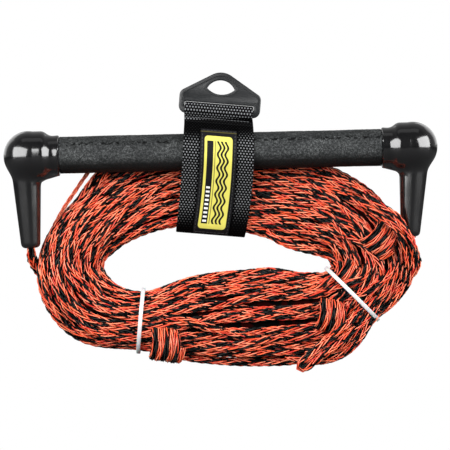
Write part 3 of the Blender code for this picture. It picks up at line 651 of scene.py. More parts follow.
# ---------------------------------------------------------------- braided rope
def braid_mesh(
    name, centres, along, frames, radius, dark=DARK_STRANDS, start_angle=0.0, wobble=0.0, pitch=BRAID_PITCH
):
    """Sixteen strands laid over and under each other round a run of centres."""
    _, sides, backs = frames
    count = len(centres)
    scale = radius / ROPE_RADIUS
    crossings = 2 * WAYS * along / pitch
    profile = ((-1.0, 0.0), (0.0, 1.0), (1.0, 0.0))  # across a strand, and how much of its ridge
    section = len(profile)
    across = np.array([side for side, _ in profile]) * STRAND_HALF_WIDTH
    width_change, width_waves, stagger = 0.12, 83.0, 2.1
    verts, faces, coordinates, darkness = [], [], [], []
    quads = np.arange(count - 1)[:, None] * section + np.arange(section)[None, :]
    following = np.arange(count - 1)[:, None] * section + (np.arange(section)[None, :] + 1) % section
    body = np.stack([quads, following, following + section, quads + section], -1).reshape(-1, 4)
    for strand in range(2 * WAYS):
        way = 1.0 if strand < WAYS else -1.0
        turn = way * 2 * math.pi * along / pitch + 2 * math.pi * (strand % WAYS) / WAYS + start_angle + wobble
        width = STRAND_HALF_ANGLE * (1 + width_change * np.sin(along * width_waves + stagger * strand))
        ring = []
        for side, ridge in profile:
            lean = side * width
            crossed = way * crossings + 2 * (strand % WAYS) + lean * WAYS / (2 * math.pi)
            lift = way * STRAND_LIFT * np.cos(math.pi / 2 * (crossed - 0.5))
            height = ROPE_RADIUS - STRAND_LIFT - (1 - ridge) * STRAND_RIDGE + lift
            reach = (scale * height)[:, None]
            angle = (turn + lean)[:, None]
            ring.append(centres + reach * (sides * np.cos(angle) + backs * np.sin(angle)))
        base = strand * count * section
        verts.append(np.stack(ring, 1).reshape(-1, 3))
        faces += (body + base).tolist()
        faces.append([base + k for k in range(section)][::-1])
        faces.append([base + (count - 1) * section + k for k in range(section)])
        uv = np.zeros((count, section, 3))
        uv[..., 0] = along[:, None]
        uv[..., 1] = across[None, :]
        uv[..., 2] = strand * 3.7 + start_angle
        coordinates.append(uv.reshape(-1, 3))
        darkness.append(np.full(count * section, 1.0 if strand in dark else 0.0))
    data = {"strand": np.vstack(coordinates), "dark": np.concatenate(darkness)}
    return mesh_of(name, np.vstack(verts), faces, data)


def rope_piece(name, points, body="coil", radius=ROPE_RADIUS, dark=DARK_STRANDS, start_angle=0.0):
    """One length of braided rope along a run of points; the radius may change along it."""
    centres = evenly(np.array(points, float), RING_STEP)
    along = np.arange(len(centres)) * RING_STEP
    frames = carried_frames(centres)
    if not np.isscalar(radius):
        radius = np.interp(along / along[-1], *np.transpose(radius))
    mesh = braid_mesh(name, centres, along, frames, radius, dark, start_angle)
    return object_from(name, mesh, ROPE, body, 180.0)


# ---------------------------------------------------------------- coil
def station_values(at):
    """The coil's station values at an array of places along it."""
    first = np.floor(at).astype(int)
    around = [COIL_STATIONS[(first + k) % STATION_COUNT] for k in (-1, 0, 1, 2)]
    return catmull_rom(*around, (at - first)[:, None])


def bundle_points(at, angle, depth):
    """Points in the bundle, an angle round its section (0 outside, a quarter turn at the back)."""
    at, angle, depth = np.broadcast_arrays(*(np.atleast_1d(np.asarray(v, float)) for v in (at, angle, depth)))
    x, z, half_width, y, half_depth, lean = station_values(at).T
    run = unit(station_values(at + 0.05)[:, :2] - station_values(at - 0.05)[:, :2])
    out = (half_width - depth) * np.cos(angle)
    back = (half_depth - depth) * np.sin(angle) + lean * out
    return np.stack([x - run[:, 1] * out, y + back, z + run[:, 0] * out], 1) + np.array(AXIS)


def angle_by_length(share, ratio):
    """The angle round an ellipse, of this ratio of axes, at a share of its length, for arrays."""
    grid = np.linspace(0.0, 2 * math.pi, 181)
    out = np.empty(len(share))
    for i, (s, r) in enumerate(zip(share, ratio)):
        steps = np.hypot(np.sin(grid), r * np.cos(grid))
        lengths = np.concatenate([[0.0], np.cumsum((steps[1:] + steps[:-1]) / 2)])
        whole = math.floor(s)
        out[i] = 2 * math.pi * whole + np.interp((s - whole) * lengths[-1], lengths, grid)
    return out


def winding():
    """The middle of the rope through all its outer turns, as one run, and where each turn ends."""
    per_turn = STATION_COUNT * 12
    total = TURNS * per_turn
    turns = np.arange(total + 1) / per_turn
    at = turns * STATION_COUNT
    share = turns / TURNS
    wander = 0.30 * np.sin(2 * math.pi * turns * 1.37) + 0.22 * np.sin(2 * math.pi * turns * 2.61 + 1.0)
    depth = ROPE_RADIUS - 0.0006 + 0.0004 * (1 + np.sin(2 * math.pi * turns * 3.23 + 2.0))
    swap_share, ease, crossing_depth = 0.75, 0.07, 0.0016
    for first in range(TURNS - 1):
        if RANDOM.random() < swap_share:
            start = RANDOM.uniform(0.03, 0.70)
            end = start + RANDOM.uniform(0.12, 0.28)
            over = RANDOM.choice((-1.0, 1.0))
            for turn, way in ((first, 1.0), (first + 1, -1.0)):
                here = turns - turn
                inside = (here > 0.0) & (here < 1.0)
                moved = smooth_step((here - start) / ease) * (1 - smooth_step((here - end) / ease))
                crossing = np.exp(-(((here - start - ease / 2) / (ease / 2)) ** 2))
                crossing = crossing + np.exp(-(((here - end - ease / 2) / (ease / 2)) ** 2))
                wander = wander + inside * moved * way
                depth = depth + inside * crossing * way * over * crossing_depth
    values = station_values(at)
    ratio = (values[:, 4] - ROPE_RADIUS) / (values[:, 2] - ROPE_RADIUS)
    angle = angle_by_length(share + wander / TURNS, ratio)
    return bundle_points(at, angle, depth), turns


def coil_turns():
    """The outer turns of the bundle, several to a piece."""
    points, turns = winding()
    lengths = lengths_along(points)
    centres = evenly(points, RING_STEP)
    at = np.linspace(0.0, lengths[-1], len(centres))
    turn_at = np.interp(at, lengths, turns)
    tangents, sides, backs = carried_frames(centres)
    wobble = 0.9 * np.sin(at * 9.0)
    for first in range(0, TURNS, TURNS_PER_PIECE):
        inside = np.nonzero((turn_at >= first - 0.004) & (turn_at <= first + TURNS_PER_PIECE))[0]
        part = slice(inside[0], inside[-1] + 1)
        name = f"rope_turns_{first + 1}_to_{min(first + TURNS_PER_PIECE, TURNS)}"
        frames = (tangents[part], sides[part], backs[part])
        mesh = braid_mesh(name, centres[part], at[part], frames, ROPE_RADIUS, wobble=wobble[part])
        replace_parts(object_from(name, mesh, ROPE, "coil", 180.0), "rope_coil")


def coil_core():
    """The inside of the bundle: one ring under the outer turns."""
    around, steps = 28, STATION_COUNT * 8
    at = np.repeat(np.arange(steps) / 8, around)
    angle = np.tile(np.arange(around) * 2 * math.pi / around, steps)
    verts = bundle_points(at, angle, 0.0066 + 0.0005 * np.sin(angle * 9))
    faces = []
    for i in range(steps):
        for k in range(around):
            m, n = (k + 1) % around, (i + 1) % steps
            faces.append((i * around + k, i * around + m, n * around + m, n * around + k))
    mesh = mesh_of("rope_coil_inside", verts, faces)
    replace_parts(object_from(mesh.name, mesh, ROPE_CORE, "coil"), "rope_coil")


def front_run(stops):
    """A run over the front of the bundle: stops are (station, side from -1 inside to 1 outside, lift)."""
    points = []
    for at, side, lift in stops:
        angle = 2 * math.pi - math.acos(max(-1.0, min(1.0, side)))
        points.append(bundle_points(at, angle, ROPE_RADIUS - lift)[0])
    return smooth_run(points)


def crossing_runs():
    """Runs that lie slantwise over the others, their ends tucked in."""
    tuck = -0.0070
    for i, stops in enumerate(
        (
            (
                (0.75, 0.62, tuck), (1.15, 0.48, 0.0012), (1.80, 0.22, 0.0022),
                (2.35, 0.05, 0.0010), (2.7, 0.0, tuck),
            ),
            (
                (1.30, -0.62, tuck), (1.8, -0.40, 0.0010), (2.5, -0.05, 0.0022),
                (3.1, 0.30, 0.0015), (3.6, 0.5, tuck),
            ),
            (
                (1.0, 0.05, tuck), (1.5, -0.08, 0.0012), (2.1, -0.32, 0.0020),
                (2.8, -0.50, 0.0010), (3.2, -0.6, tuck),
            ),
            (
                (2.7, 0.75, tuck), (3.1, 0.60, 0.0016), (3.6, 0.30, 0.0026),
                (4.1, 0.05, 0.0010), (4.4, -0.1, tuck),
            ),
            (
                (9.0, -0.55, tuck), (9.6, -0.35, 0.0012), (10.3, 0.00, 0.0022),
                (11.0, 0.30, 0.0012), (11.5, 0.5, tuck),
            ),
            (
                (10.6, -0.60, tuck), (11.1, -0.45, 0.0012), (11.7, -0.15, 0.0022),
                (12.3, 0.15, 0.0010), (12.7, 0.3, tuck),
            ),
            (
                (5.6, 0.55, tuck), (6.2, 0.42, 0.0010), (7.0, 0.15, 0.0018),
                (7.6, -0.05, 0.0008), (8.0, -0.2, tuck),
            ),
        )
    ):
        rope_piece(f"rope_over_{i + 1}", front_run(stops), start_angle=0.8 * i)


def barrel_wraps():
    """The rope wound round a few runs: short barrels lying on the bundle, dark and red wraps in turn."""
    for i, (x, z, y, slope, length, half_height, half_depth, turns, lean) in enumerate(
        (
            (-0.0424, -0.1431, 0.0008, -9.0, 0.0215, 0.0101, 0.0072, 5.5, 0.14),
            (0.0812, -0.1249, 0.0005, -14.0, 0.0200, 0.0098, 0.0072, 5.5, 0.12),
            (0.1180, -0.0700, 0.0008, -42.0, 0.0190, 0.0098, 0.0072, 5.5, 0.0),
            (0.0960, -0.0965, 0.0078, -46.0, 0.0200, 0.0100, 0.0072, 5.5, 0.30),
        )
    ):
        lie = math.radians(slope)
        run = np.array((math.cos(lie), 0.0, math.sin(lie)))
        upward = np.array((-math.sin(lie), 0.0, math.cos(lie)))
        share = np.linspace(0.0, 1.0, 48 * round(turns))
        angle = 2 * math.pi * turns * share + math.pi / 2
        centre = np.array(about_axis(x, y, z))
        swell = 1 + 0.06 * np.sin(math.pi * share) + 0.03 * np.sin(angle * 0.73 + i)
        slant = half_height * (lean * np.cos(angle) + 0.22 * np.cos(angle) ** 2)
        points = (
            centre
            + run * (length * (share - 0.5) - slant)[:, None]
            + upward * (half_height * swell * np.cos(angle))[:, None]
            + np.array((0.0, half_depth, 0.0)) * (swell * np.sin(angle))[:, None]
        )
        centres = evenly(points, RING_STEP * 0.7)
        along = np.arange(len(centres)) * RING_STEP * 0.7
        once = along[-1] / turns
        tangents = unit(np.gradient(centres, axis=0))
        outward = centres - centre
        outward = outward - run * (outward @ run)[:, None]
        sides = unit(outward - tangents * (outward * tangents).sum(1)[:, None])
        frames = (tangents, sides, np.cross(tangents, sides))
        name = f"barrel_wrap_{i + 1}"
        some_dark = (0, 1, 2, 8, 9, 10)
        mesh = braid_mesh(name, centres, along - once / 2, frames, 0.0028, some_dark, -0.8, 0.0, 1.85 * once)
        object_from(name, mesh, ROPE, "coil", 180.0)


def run_about_axis(name, stops, **options):
    """A length of rope through places about the handle's axis."""
    return rope_piece(name, smooth_run([tuple(about_axis(*p)) for p in stops]), **options)


def boat_loop():
    """The loop at the boat end, laid over the lower right of the bundle and held under the tie."""
    stops = (
        (0.1150, 0.0090, -0.1095), (0.1053, 0.0012, -0.1172), (0.0925, -0.0062, -0.1285),
        (0.0800, -0.0085, -0.1380), (0.0680, -0.0085, -0.1475), (0.0572, -0.0085, -0.1570),
        (0.0545, -0.0085, -0.1603), (0.0563, -0.0085, -0.1624), (0.0602, -0.0085, -0.1612),
        (0.0715, -0.0085, -0.1530), (0.0835, -0.0080, -0.1442), (0.0950, -0.0050, -0.1350),
        (0.1075, 0.0020, -0.1240), (0.1150, 0.0100, -0.1160),
    )
    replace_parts(run_about_axis("rope_boat_loop", stops, start_angle=0.4), "boat_loop")


def edge_runs():
    """Single runs that stray from the bundle's surface and make its outline."""
    for name, stops in (
        (
            "rope_edge_right",
            (
                (0.0700, 0.0170, -0.0090), (0.0861, 0.0120, -0.0201), (0.0978, 0.0050, -0.0273),
                (0.1090, -0.0020, -0.0367), (0.1202, -0.0080, -0.0455), (0.1285, -0.0108, -0.0515),
                (0.1340, -0.0115, -0.0598), (0.1393, -0.0105, -0.0700), (0.1418, -0.0075, -0.0790),
                (0.1415, -0.0045, -0.0868), (0.1390, -0.0015, -0.0941), (0.1358, 0.0015, -0.1024),
                (0.1297, 0.0040, -0.1106), (0.1224, 0.0065, -0.1180), (0.1140, 0.0100, -0.1242),
            ),
        ),
        (
            "rope_edge_right_inner",
            (
                (0.0940, 0.0080, -0.0350), (0.1060, -0.0010, -0.0425), (0.1180, -0.0070, -0.0510),
                (0.1275, -0.0095, -0.0590), (0.1332, -0.0090, -0.0675), (0.1366, -0.0065, -0.0780),
                (0.1362, -0.0030, -0.0880), (0.1320, 0.0030, -0.1000), (0.1216, 0.0080, -0.1112),
            ),
        ),
        (
            "rope_edge_lower_right",
            (
                (0.1166, 0.0110, -0.1180), (0.1126, 0.0060, -0.1248), (0.1069, 0.0030, -0.1312),
                (0.1025, 0.0015, -0.1383), (0.0967, 0.0010, -0.1454), (0.0893, 0.0010, -0.1516),
                (0.0805, 0.0015, -0.1556), (0.0706, 0.0020, -0.1576), (0.0590, 0.0035, -0.1572),
                (0.0450, 0.0080, -0.1540),
            ),
        ),
        (
            "rope_edge_lower_right_inner",
            (
                (0.1090, 0.0120, -0.1180), (0.1045, 0.0050, -0.1265), (0.0990, 0.0000, -0.1345),
                (0.0920, -0.0010, -0.1420), (0.0840, 0.0000, -0.1480), (0.0740, 0.0020, -0.1515),
                (0.0600, 0.0060, -0.1500),
            ),
        ),
        (
            "rope_edge_lower_right_back",
            (
                (0.1140, 0.0180, -0.1190), (0.1075, 0.0120, -0.1290), (0.1000, 0.0085, -0.1405),
                (0.0900, 0.0085, -0.1490), (0.0790, 0.0090, -0.1535), (0.0650, 0.0110, -0.1540),
                (0.0500, 0.0140, -0.1500),
            ),
        ),
        (
            "rope_edge_inner_top",
            (
                (0.0300, 0.0150, -0.0560), (0.0370, 0.0070, -0.0640), (0.0490, 0.0060, -0.0705),
                (0.0612, 0.0080, -0.0743), (0.0710, 0.0090, -0.0769), (0.0786, 0.0090, -0.0797),
                (0.0830, 0.0090, -0.0840), (0.0865, 0.0090, -0.0910),
            ),
        ),
        (
            "rope_edge_inner_top_back",
            (
                (0.0320, 0.0200, -0.0560), (0.0440, 0.0150, -0.0645), (0.0560, 0.0130, -0.0700),
                (0.0740, 0.0150, -0.0755), (0.0850, 0.0150, -0.0840),
            ),
        ),
        (
            "rope_edge_upper_left",
            (
                (-0.1290, 0.0150, -0.0650), (-0.1242, 0.0150, -0.0524), (-0.1175, 0.0150, -0.0448),
                (-0.1074, 0.0160, -0.0345), (-0.0986, 0.0180, -0.0224), (-0.0900, 0.0205, -0.0130),
                (-0.0760, 0.0225, -0.0050), (-0.0580, 0.0230, -0.0030), (-0.0380, 0.0230, -0.0050),
            ),
        ),
        (
            "rope_edge_upper_left_front",
            (
                (-0.1235, 0.0110, -0.0640), (-0.1130, 0.0100, -0.0480), (-0.1015, 0.0110, -0.0355),
                (-0.0925, 0.0135, -0.0235), (-0.0830, 0.0170, -0.0130), (-0.0680, 0.0200, -0.0075),
                (-0.0500, 0.0210, -0.0080),
            ),
        ),
    ):
        run_about_axis(name, stops, start_angle=0.9 + 3.1 * stops[0][0] * 100)


def loose_run():
    """A thin, stretched run that stands away from the bundle at its upper left and goes behind the tube."""
    stops = (
        (-0.1256, 0.0120, -0.0520), (-0.1181, 0.0110, -0.0393), (-0.1093, 0.0130, -0.0266),
        (-0.1004, 0.0170, -0.0140), (-0.0910, 0.0200, -0.0036), (-0.0740, 0.0220, 0.0010),
        (-0.0560, 0.0220, -0.0040),
    )
    run_about_axis("rope_loose_run", stops, radius=0.0016, dark=())


def leg_ends(side):
    """Top and mouth of a cap's leg, from the handle's axis."""
    if side > 0:
        return Vector((0.1441, 0.0, 0.0)), Vector((0.1394, 0.0, -0.0664))
    return Vector((-0.1450, 0.0, 0.0)), Vector((-0.1425, 0.0, -0.0684))


def bridle_tails():
    """The free lengths between the legs and the coil."""
    for side, name, node_name, stops in (
        (
            -1,
            "rope_tail_left",
            "bridle_tail_left",
            (
                (-0.1426, 0.0045, -0.0750), (-0.1408, 0.0105, -0.0812), (-0.1368, 0.0187, -0.0882),
                (-0.1290, 0.0270, -0.0960),
            ),
        ),
        (
            1,
            "rope_tail_right",
            "bridle_tail_right",
            (
                (0.1404, 0.0020, -0.0752), (0.1442, 0.0070, -0.0850), (0.1410, 0.0160, -0.0940),
                (0.1310, 0.0250, -0.1030),
            ),
        ),
    ):
        top, mouth = leg_ends(side)
        down = (mouth - top).normalized()
        inside = [mouth - down * 0.012, mouth - down * 0.004, mouth + down * 0.002]
        points = [tuple(AXIS + p) for p in inside] + [tuple(about_axis(*p)) for p in stops]
        radii = ((0.0, 0.0034), (0.28, 0.0035), (0.36, 0.0042), (0.60, 0.0040), (1.0, 0.0036))
        piece = rope_piece(name, smooth_run(points), None, radii, start_angle=0.5 * side)
        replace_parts(piece, node_name)
        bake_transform(piece)


# ---------------------------------------------------------------- ties
def skinned(name, centres, across_dirs, normals, across, heights, closed, weave=True):
    """A strip of material: rings of the same section carried along a run of centres."""
    count, section = heights.shape
    verts = (
        centres[:, None, :]
        + across_dirs[:, None, :] * across[None, :, None]
        + normals[:, None, :] * heights[..., None]
    ).reshape(-1, 3)
    rings = count if closed else count - 1
    i = np.arange(rings)[:, None]
    k = np.arange(section)[None, :]
    j, m = (i + 1) % count, (k + 1) % section
    faces = np.stack([i * section + k, i * section + m, j * section + m, j * section + k], -1)
    faces = faces.reshape(-1, 4).tolist()
    if not closed:
        faces.append(list(range(section))[::-1])
        faces.append([(count - 1) * section + n for n in range(section)])
    attributes = None
    if weave:
        run = lengths_along(centres)
        coordinates = np.zeros((count, section, 3))
        coordinates[..., 0] = across[None, :]
        coordinates[..., 1] = run[:, None]
        attributes = {"weave": coordinates.reshape(-1, 3)}
    return mesh_of(name, verts, faces, attributes)


def rounded_section(width, thickness, base=0.0):
    """A flat bar's section with rounded edges, as (across, height) arrays."""
    a, t = width / 2, thickness / 2
    across, height = [], []
    for quarter, (x, y) in enumerate(((a - t, 0.0), (-(a - t), 0.0))):
        for step in range(7):
            angle = -math.pi / 2 + math.pi * step / 6 + math.pi * quarter
            across.append(x + t * math.cos(angle))
            height.append(y + t * math.sin(angle) + t + base)
    return np.array(across), np.array(height)


def cable_ties():
    """Cable ties pulled tight round the bundle, each with its head at the back."""
    width, thickness, clearance, head = 0.0030, 0.0012, 0.0008, 0.0050
    for name, node_name, station, bulge in (
        ("tie_band_left", "tie_left", LEFT_TIE_STATION, 0.0004),
        ("tie_band_right", "tie_right", RIGHT_TIE_STATION, 0.0022),
    ):
        turns = np.arange(120) * 2 * math.pi / 120
        skin = bundle_points(station, turns, -clearance)
        skin[:, 1] += bulge * np.minimum(0.0, np.sin(turns))
        before, after = station_values(np.array([station - 0.05, station + 0.05]))[:, :2]
        run = unit(np.array([after[0] - before[0], 0.0, after[1] - before[1]]))
        normals = unit(np.cross(np.roll(skin, -1, 0) - np.roll(skin, 1, 0), run))
        middle = skin.mean(0)
        if ((skin - middle) * normals).sum() < 0:
            normals = -normals
        across, height = rounded_section(width, thickness)
        heights = np.repeat(height[None, :], len(turns), 0)
        along_run = np.repeat(run[None, :], len(turns), 0)
        loop = linked(name, skinned(name, skin, along_run, normals, across, heights, True, False))
        bm = bmesh.new()
        bmesh.ops.create_cube(bm, size=1.0)
        bmesh.ops.scale(bm, vec=(head, head * 0.8, head), verts=bm.verts)
        bmesh.ops.bevel(bm, geom=bm.edges, offset=0.0005, segments=3, affect="EDGES")
        place = Matrix(((run[0], 0, -run[2]), (0, 1, 0), (run[2], 0, run[0]))).to_4x4()
        back = skin[np.argmax(skin[:, 1])]
        place.translation = Vector(back) + Vector((0.0, thickness / 2 + head * 0.4 - 0.0002, 0.0))
        bm.transform(place)
        lock = linked(name + "_lock", mesh_from(name + "_lock", bm))
        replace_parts(object_from(name, combined(loop, [lock], "UNION"), TIE, "coil"), node_name)


# ---------------------------------------------------------------- strap paths, as (y, up) points
def convex_loop(points):
    """The convex hull of points (y, up), counterclockwise."""
    points = sorted(set(points))

    def half(run):
        chain = []
        for p in run:
            while len(chain) > 1 and turn_of(chain[-2], chain[-1], p) <= 0:
                chain.pop()
            chain.append(p)
        return chain[:-1]

    return half(points) + half(points[::-1])


def turn_of(a, b, c):
    return (b[0] - a[0]) * (c[1] - a[1]) - (b[1] - a[1]) * (c[0] - a[0])


def strap_loop():
    """The inner face of the strap's loop: a band pulled tight round the grip and the bundle."""
    touched = [(0.0, SPLIT_Z)]
    reach = STRAP_WIDTH / 2 + 0.001
    for at in np.arange(-12, 13) / 10:
        for point in bundle_points(at, np.arange(48) * 2 * math.pi / 48, -STRAP_CLEARANCE):
            about = Vector(point) - STRAP
            if abs(about.dot(ACROSS)) < reach:
                height = about.dot(UP)
                touched.append((about.y, height - (0.0015 if height < -0.05 else 0.0)))
    rise = reach * ACROSS.z / ACROSS.x
    for middle in (-rise, 0.0, rise):
        for angle in np.radians(np.arange(0, 350, 10)):
            radius = GRIP_RADIUS + STRAP_CLEARANCE
            touched.append((radius * math.cos(angle), middle + radius * math.sin(angle)))
    return convex_loop(touched)


def rounded_path(path, passes=3):
    """The path with its small corners eased."""
    path = np.array(path, float)
    for _ in range(passes):
        path[1:-1] = (path[:-2] + 2 * path[1:-1] + path[2:]) / 4
    return path


def offset_path(path, distance):
    """The path moved sideways, to the right of its run; distance may be an array."""
    path = np.asarray(path, float)
    run = unit(np.gradient(path, axis=0))
    return path + np.stack([run[:, 1], -run[:, 0]], 1) * np.reshape(distance, (-1, 1))


def between(path, low, high):
    """The stretch of a path between two heights, cut exactly at them."""
    out = []
    for a, b in zip(path, path[1:]):
        cuts = [(z - a[1]) / (b[1] - a[1]) for z in (low, high) if (a[1] - z) * (b[1] - z) < 0]
        for t in sorted([0.0] + cuts + [1.0]):
            p = a + (b - a) * t
            inside = low - 1e-9 <= p[1] <= high + 1e-9
            if inside and (not out or np.linalg.norm(out[-1] - p) > 1e-5):
                out.append(p)
    return np.array(out)


def loop_sides():
    """The loop's front, from the top down to its lowest point, and its back, from there up again."""
    loop = strap_loop()
    top = max(range(len(loop)), key=lambda i: loop[i][1])
    run = evenly(np.array(loop[top:] + loop[: top + 1]), 0.0010)
    run = rounded_path(run)
    low = int(np.argmin(run[:, 1]))
    return run[: low + 1], run[low:]


def tail_offset():
    return PLY + 2 * TAPE + 3 * GAP


def sag(z):
    """How far the strap is pulled to its right at a height, from 0 to 1: it hangs slightly bowed."""
    low, span = -0.071, 0.098
    return np.sin(math.pi * np.clip((z - low) / span, 0.0, 1.0)) ** 0.8


def strap_places(path):
    """World places of a path in the strap's frame, and the outward direction at each."""
    origin, up = np.array(STRAP), np.array(UP)
    places = origin + path[:, :1] * np.array((0.0, 1.0, 0.0)) + path[:, 1:] * up
    places = places + (SAG * sag(path[:, 1]))[:, None] * np.array(ACROSS)
    run = unit(np.gradient(path, axis=0))
    normals = run[:, 1:] * np.array((0.0, 1.0, 0.0)) - run[:, :1] * up
    return places, normals


def woven_strip(
    name, path, width, thickness, mat, body, columns=64, relief=0.00012, step=WEAVE_PITCH / 3
):
    """Webbing along a path: fine ribs on its outer face, rounded selvages."""
    path = evenly(path, step)
    places, normals = strap_places(path)
    half = width / 2
    face = np.linspace(-half + thickness * 0.4, half - thickness * 0.4, columns)
    inner = np.linspace(half - thickness * 0.4, -half + thickness * 0.4, 12)
    across = np.concatenate([[-half], face, [half], inner])
    count = len(path)
    along = np.arange(count) * step
    rows = along / WEAVE_PITCH
    ribs = np.abs(np.sin(math.pi * rows))[:, None]
    dots = 0.7 + 0.3 * np.sin(face[None, :] * 2 * math.pi / 0.0016 + math.pi * np.floor(rows)[:, None])
    heights = np.empty((count, len(across)))
    heights[:, 0] = heights[:, columns + 1] = thickness / 2
    heights[:, 1 : columns + 1] = thickness - relief + relief * ribs * dots
    heights[:, columns + 2 :] = 0.0
    side = np.array(ACROSS) * (1 + WIDENING * sag(path[:, 1]))[:, None]
    mesh = skinned(name, places, side, normals, across, heights, False)
    return object_from(name, mesh, mat, body, 60.0)


def keeper_strap(front, back):
    """Wrap, front ply, round the hanger's bar, and the short back ply, in one length."""
    climb = smooth_step((back[:, 1] - LIFT_START_Z) / (LIFT_END_Z - LIFT_START_Z))
    wrap = between(offset_path(back, tail_offset() * climb), -1.0, TAIL_ROOT_Z - TAIL_ROOT_GAP)
    back_ply = between(back, BACK_PLY_END_Z, 1.0)
    angles = np.radians(np.linspace(-30, 210, 33))
    heights = np.sin(angles) * np.where(angles * (math.pi - angles) > 0, LOOP_RISE, LOOP_HALF_DEPTH)
    bar = np.stack([LOOP_HALF_DEPTH * np.cos(angles), BAR_Z + heights], 1)
    rise = np.array([[GAP / 2, SPLIT_Z + PLY], [GAP / 2, SEAM_Z]])
    fall = np.array([[-GAP / 2, SEAM_Z], [-GAP / 2, SPLIT_Z + PLY]])
    path = np.vstack([back_ply[:-1], rise, bar, fall, front[1:], wrap[1:]])
    strap = woven_strip("strap_webbing", path, STRAP_WIDTH, PLY, WEBBING, "coil")
    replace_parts(strap, "keeper_webbing")
    return wrap[-1]


def strap_closure(back, wrap_end):
    """The strap's free end with its hook tape, and the loop tape it closes on."""
    margin, edge = 0.0015, TAPE_WIDTH / 2 - 0.002
    loop_path = between(back, BACK_PLY_END_Z + margin, TAIL_END_Z - margin)
    hook_path = between(back, BACK_PLY_END_Z, TAIL_END_Z - margin)
    under, over = offset_path(loop_path, PLY + GAP), offset_path(hook_path, PLY + 2 * GAP + TAPE)
    tapes = (
        ("loop_tape_pile", under, LOOP_TAPE, "coil", 0.0002, "loop_tape"),
        ("hook_tape_face", over, HOOK_TAPE, "strap_tail", 0.0001, "hook_tape"),
    )
    for name, path, mat, body, relief, node_name in tapes:
        tape = woven_strip(name, path, TAPE_WIDTH, TAPE, mat, body, 40, relief)
        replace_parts(tape, node_name)
    tail = between(back, TAIL_ROOT_Z - TAIL_ROOT_GAP, TAIL_END_Z)
    tail = offset_path(tail, tail_offset())
    tail[0] = wrap_end
    end = woven_strip("strap_free_end", rounded_path(tail), STRAP_WIDTH, PLY, WEBBING, None)
    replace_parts(end, "keeper_tail")
    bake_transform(end)
    outer = offset_path(hook_path, tail_offset() + PLY)
    stitches("hook_tape_seam", outer, edge, "strap_tail", "hook_tape_stitch", DARK_THREAD)
    stitches("loop_tape_seam", loop_path, edge, "coil", "loop_tape_stitch", DARK_THREAD, -1.0)


def stitch_mesh(name, places, directions, normals, length=0.0022, width=0.00042, height=0.00030):
    """Many separate stitches, each a small rounded bead lying along its direction."""
    rings, around = 6, 8
    verts, faces = [], []
    for place, direction, normal in zip(places, directions, normals):
        side = np.cross(direction, normal)
        base = len(verts)
        for i in range(rings + 1):
            t = math.pi * i / rings
            reach = -math.cos(t) * length / 2
            size = max(math.sin(t), 0.12) ** 0.5
            for k in range(around):
                a = 2 * math.pi * k / around
                verts.append(
                    place
                    + direction * reach
                    + side * (width / 2 * size * math.cos(a))
                    + normal * (height * size * math.sin(a))
                )
        for i in range(rings):
            for k in range(around):
                m = (k + 1) % around
                a, b = base + i * around, base + (i + 1) * around
                faces.append((a + k, a + m, b + m, b + k))
        faces.append([base + k for k in range(around)][::-1])
        faces.append([base + rings * around + k for k in range(around)])
    return mesh_of(name, np.array(verts), faces)


def stitches(name, path, half_width, body, node_name, mat, outward=1.0, pitch=0.0028):
    """Stitching round a patch: two lines along the path and two across it."""
    path = evenly(np.asarray(path, float), pitch)
    places, normals = strap_places(path)
    normals = normals * outward
    run = unit(np.gradient(places, axis=0))
    side = np.array(ACROSS)
    spots, directions, tops = [], [], []
    for edge in (-half_width, half_width):
        spots += [p + side * edge for p in (places[:-1] + places[1:]) / 2]
        directions += list(run[:-1])
        tops += list(normals[:-1])
    for end in (0, -1):
        for share in np.arange(-half_width + pitch / 2, half_width, pitch):
            spots.append(places[end] + side * share)
            directions.append(side)
            tops.append(normals[end])
    piece = object_from(name, stitch_mesh(name, spots, directions, tops), mat, body)
    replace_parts(piece, node_name)


def seam_rows():
    """Rows of stitching across the strap under the hanger."""
    reach = STRAP_WIDTH / 2 - 0.002
    for name, node_name, heights in (
        ("fold_seam_upper", "fold_stitch_upper", (0.0254, 0.0268)),
        ("fold_seam_lower", "fold_stitch_lower", (0.0238,)),
    ):
        spots = []
        for row, z in enumerate(heights):
            y = -GAP / 2 - PLY - 0.87 * max(z - SEAM_Z, 0.0)
            for share in np.arange(-reach + 0.0007 * row, reach, 0.0024):
                spots.append(np.array(STRAP + ACROSS * float(share) + UP * z + Vector((0.0, y, 0.0))))
        directions = [np.array(ACROSS)] * len(spots)
        normals = [np.array((0.0, -1.0, 0.0))] * len(spots)
        mesh = stitch_mesh(name, spots, directions, normals, 0.0019)
        piece = object_from(name, mesh, SEAM_THREAD, "coil")
        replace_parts(piece, node_name)


def woven_label(front):
    """The patch on the front of the strap with its stitched edge."""
    path = between(front, LABEL_BOTTOM_Z, LABEL_TOP_Z)
    patch = offset_path(path, PLY + 0.0001)
    strip = woven_strip(
        "label_woven_patch", patch, LABEL_WIDTH, LABEL_THICKNESS, LABEL, "coil", 40, 0.00002, 0.0008
    )
    about = np.array([vertex.co - STRAP for vertex in strip.data.vertices])
    height = about @ np.array(UP)
    across = about @ np.array(ACROSS) - SAG * sag(height)
    place = np.stack([across, height, 0 * height], 1)
    strip.data.attributes["weave"].data.foreach_set("vector", place.ravel())
    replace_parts(strip, "label_patch")
    outer = offset_path(path[2:-2], PLY + LABEL_THICKNESS)
    stitches("label_seam", outer, LABEL_WIDTH / 2 - 0.0009, "coil", "label_stitch", DARK_THREAD)


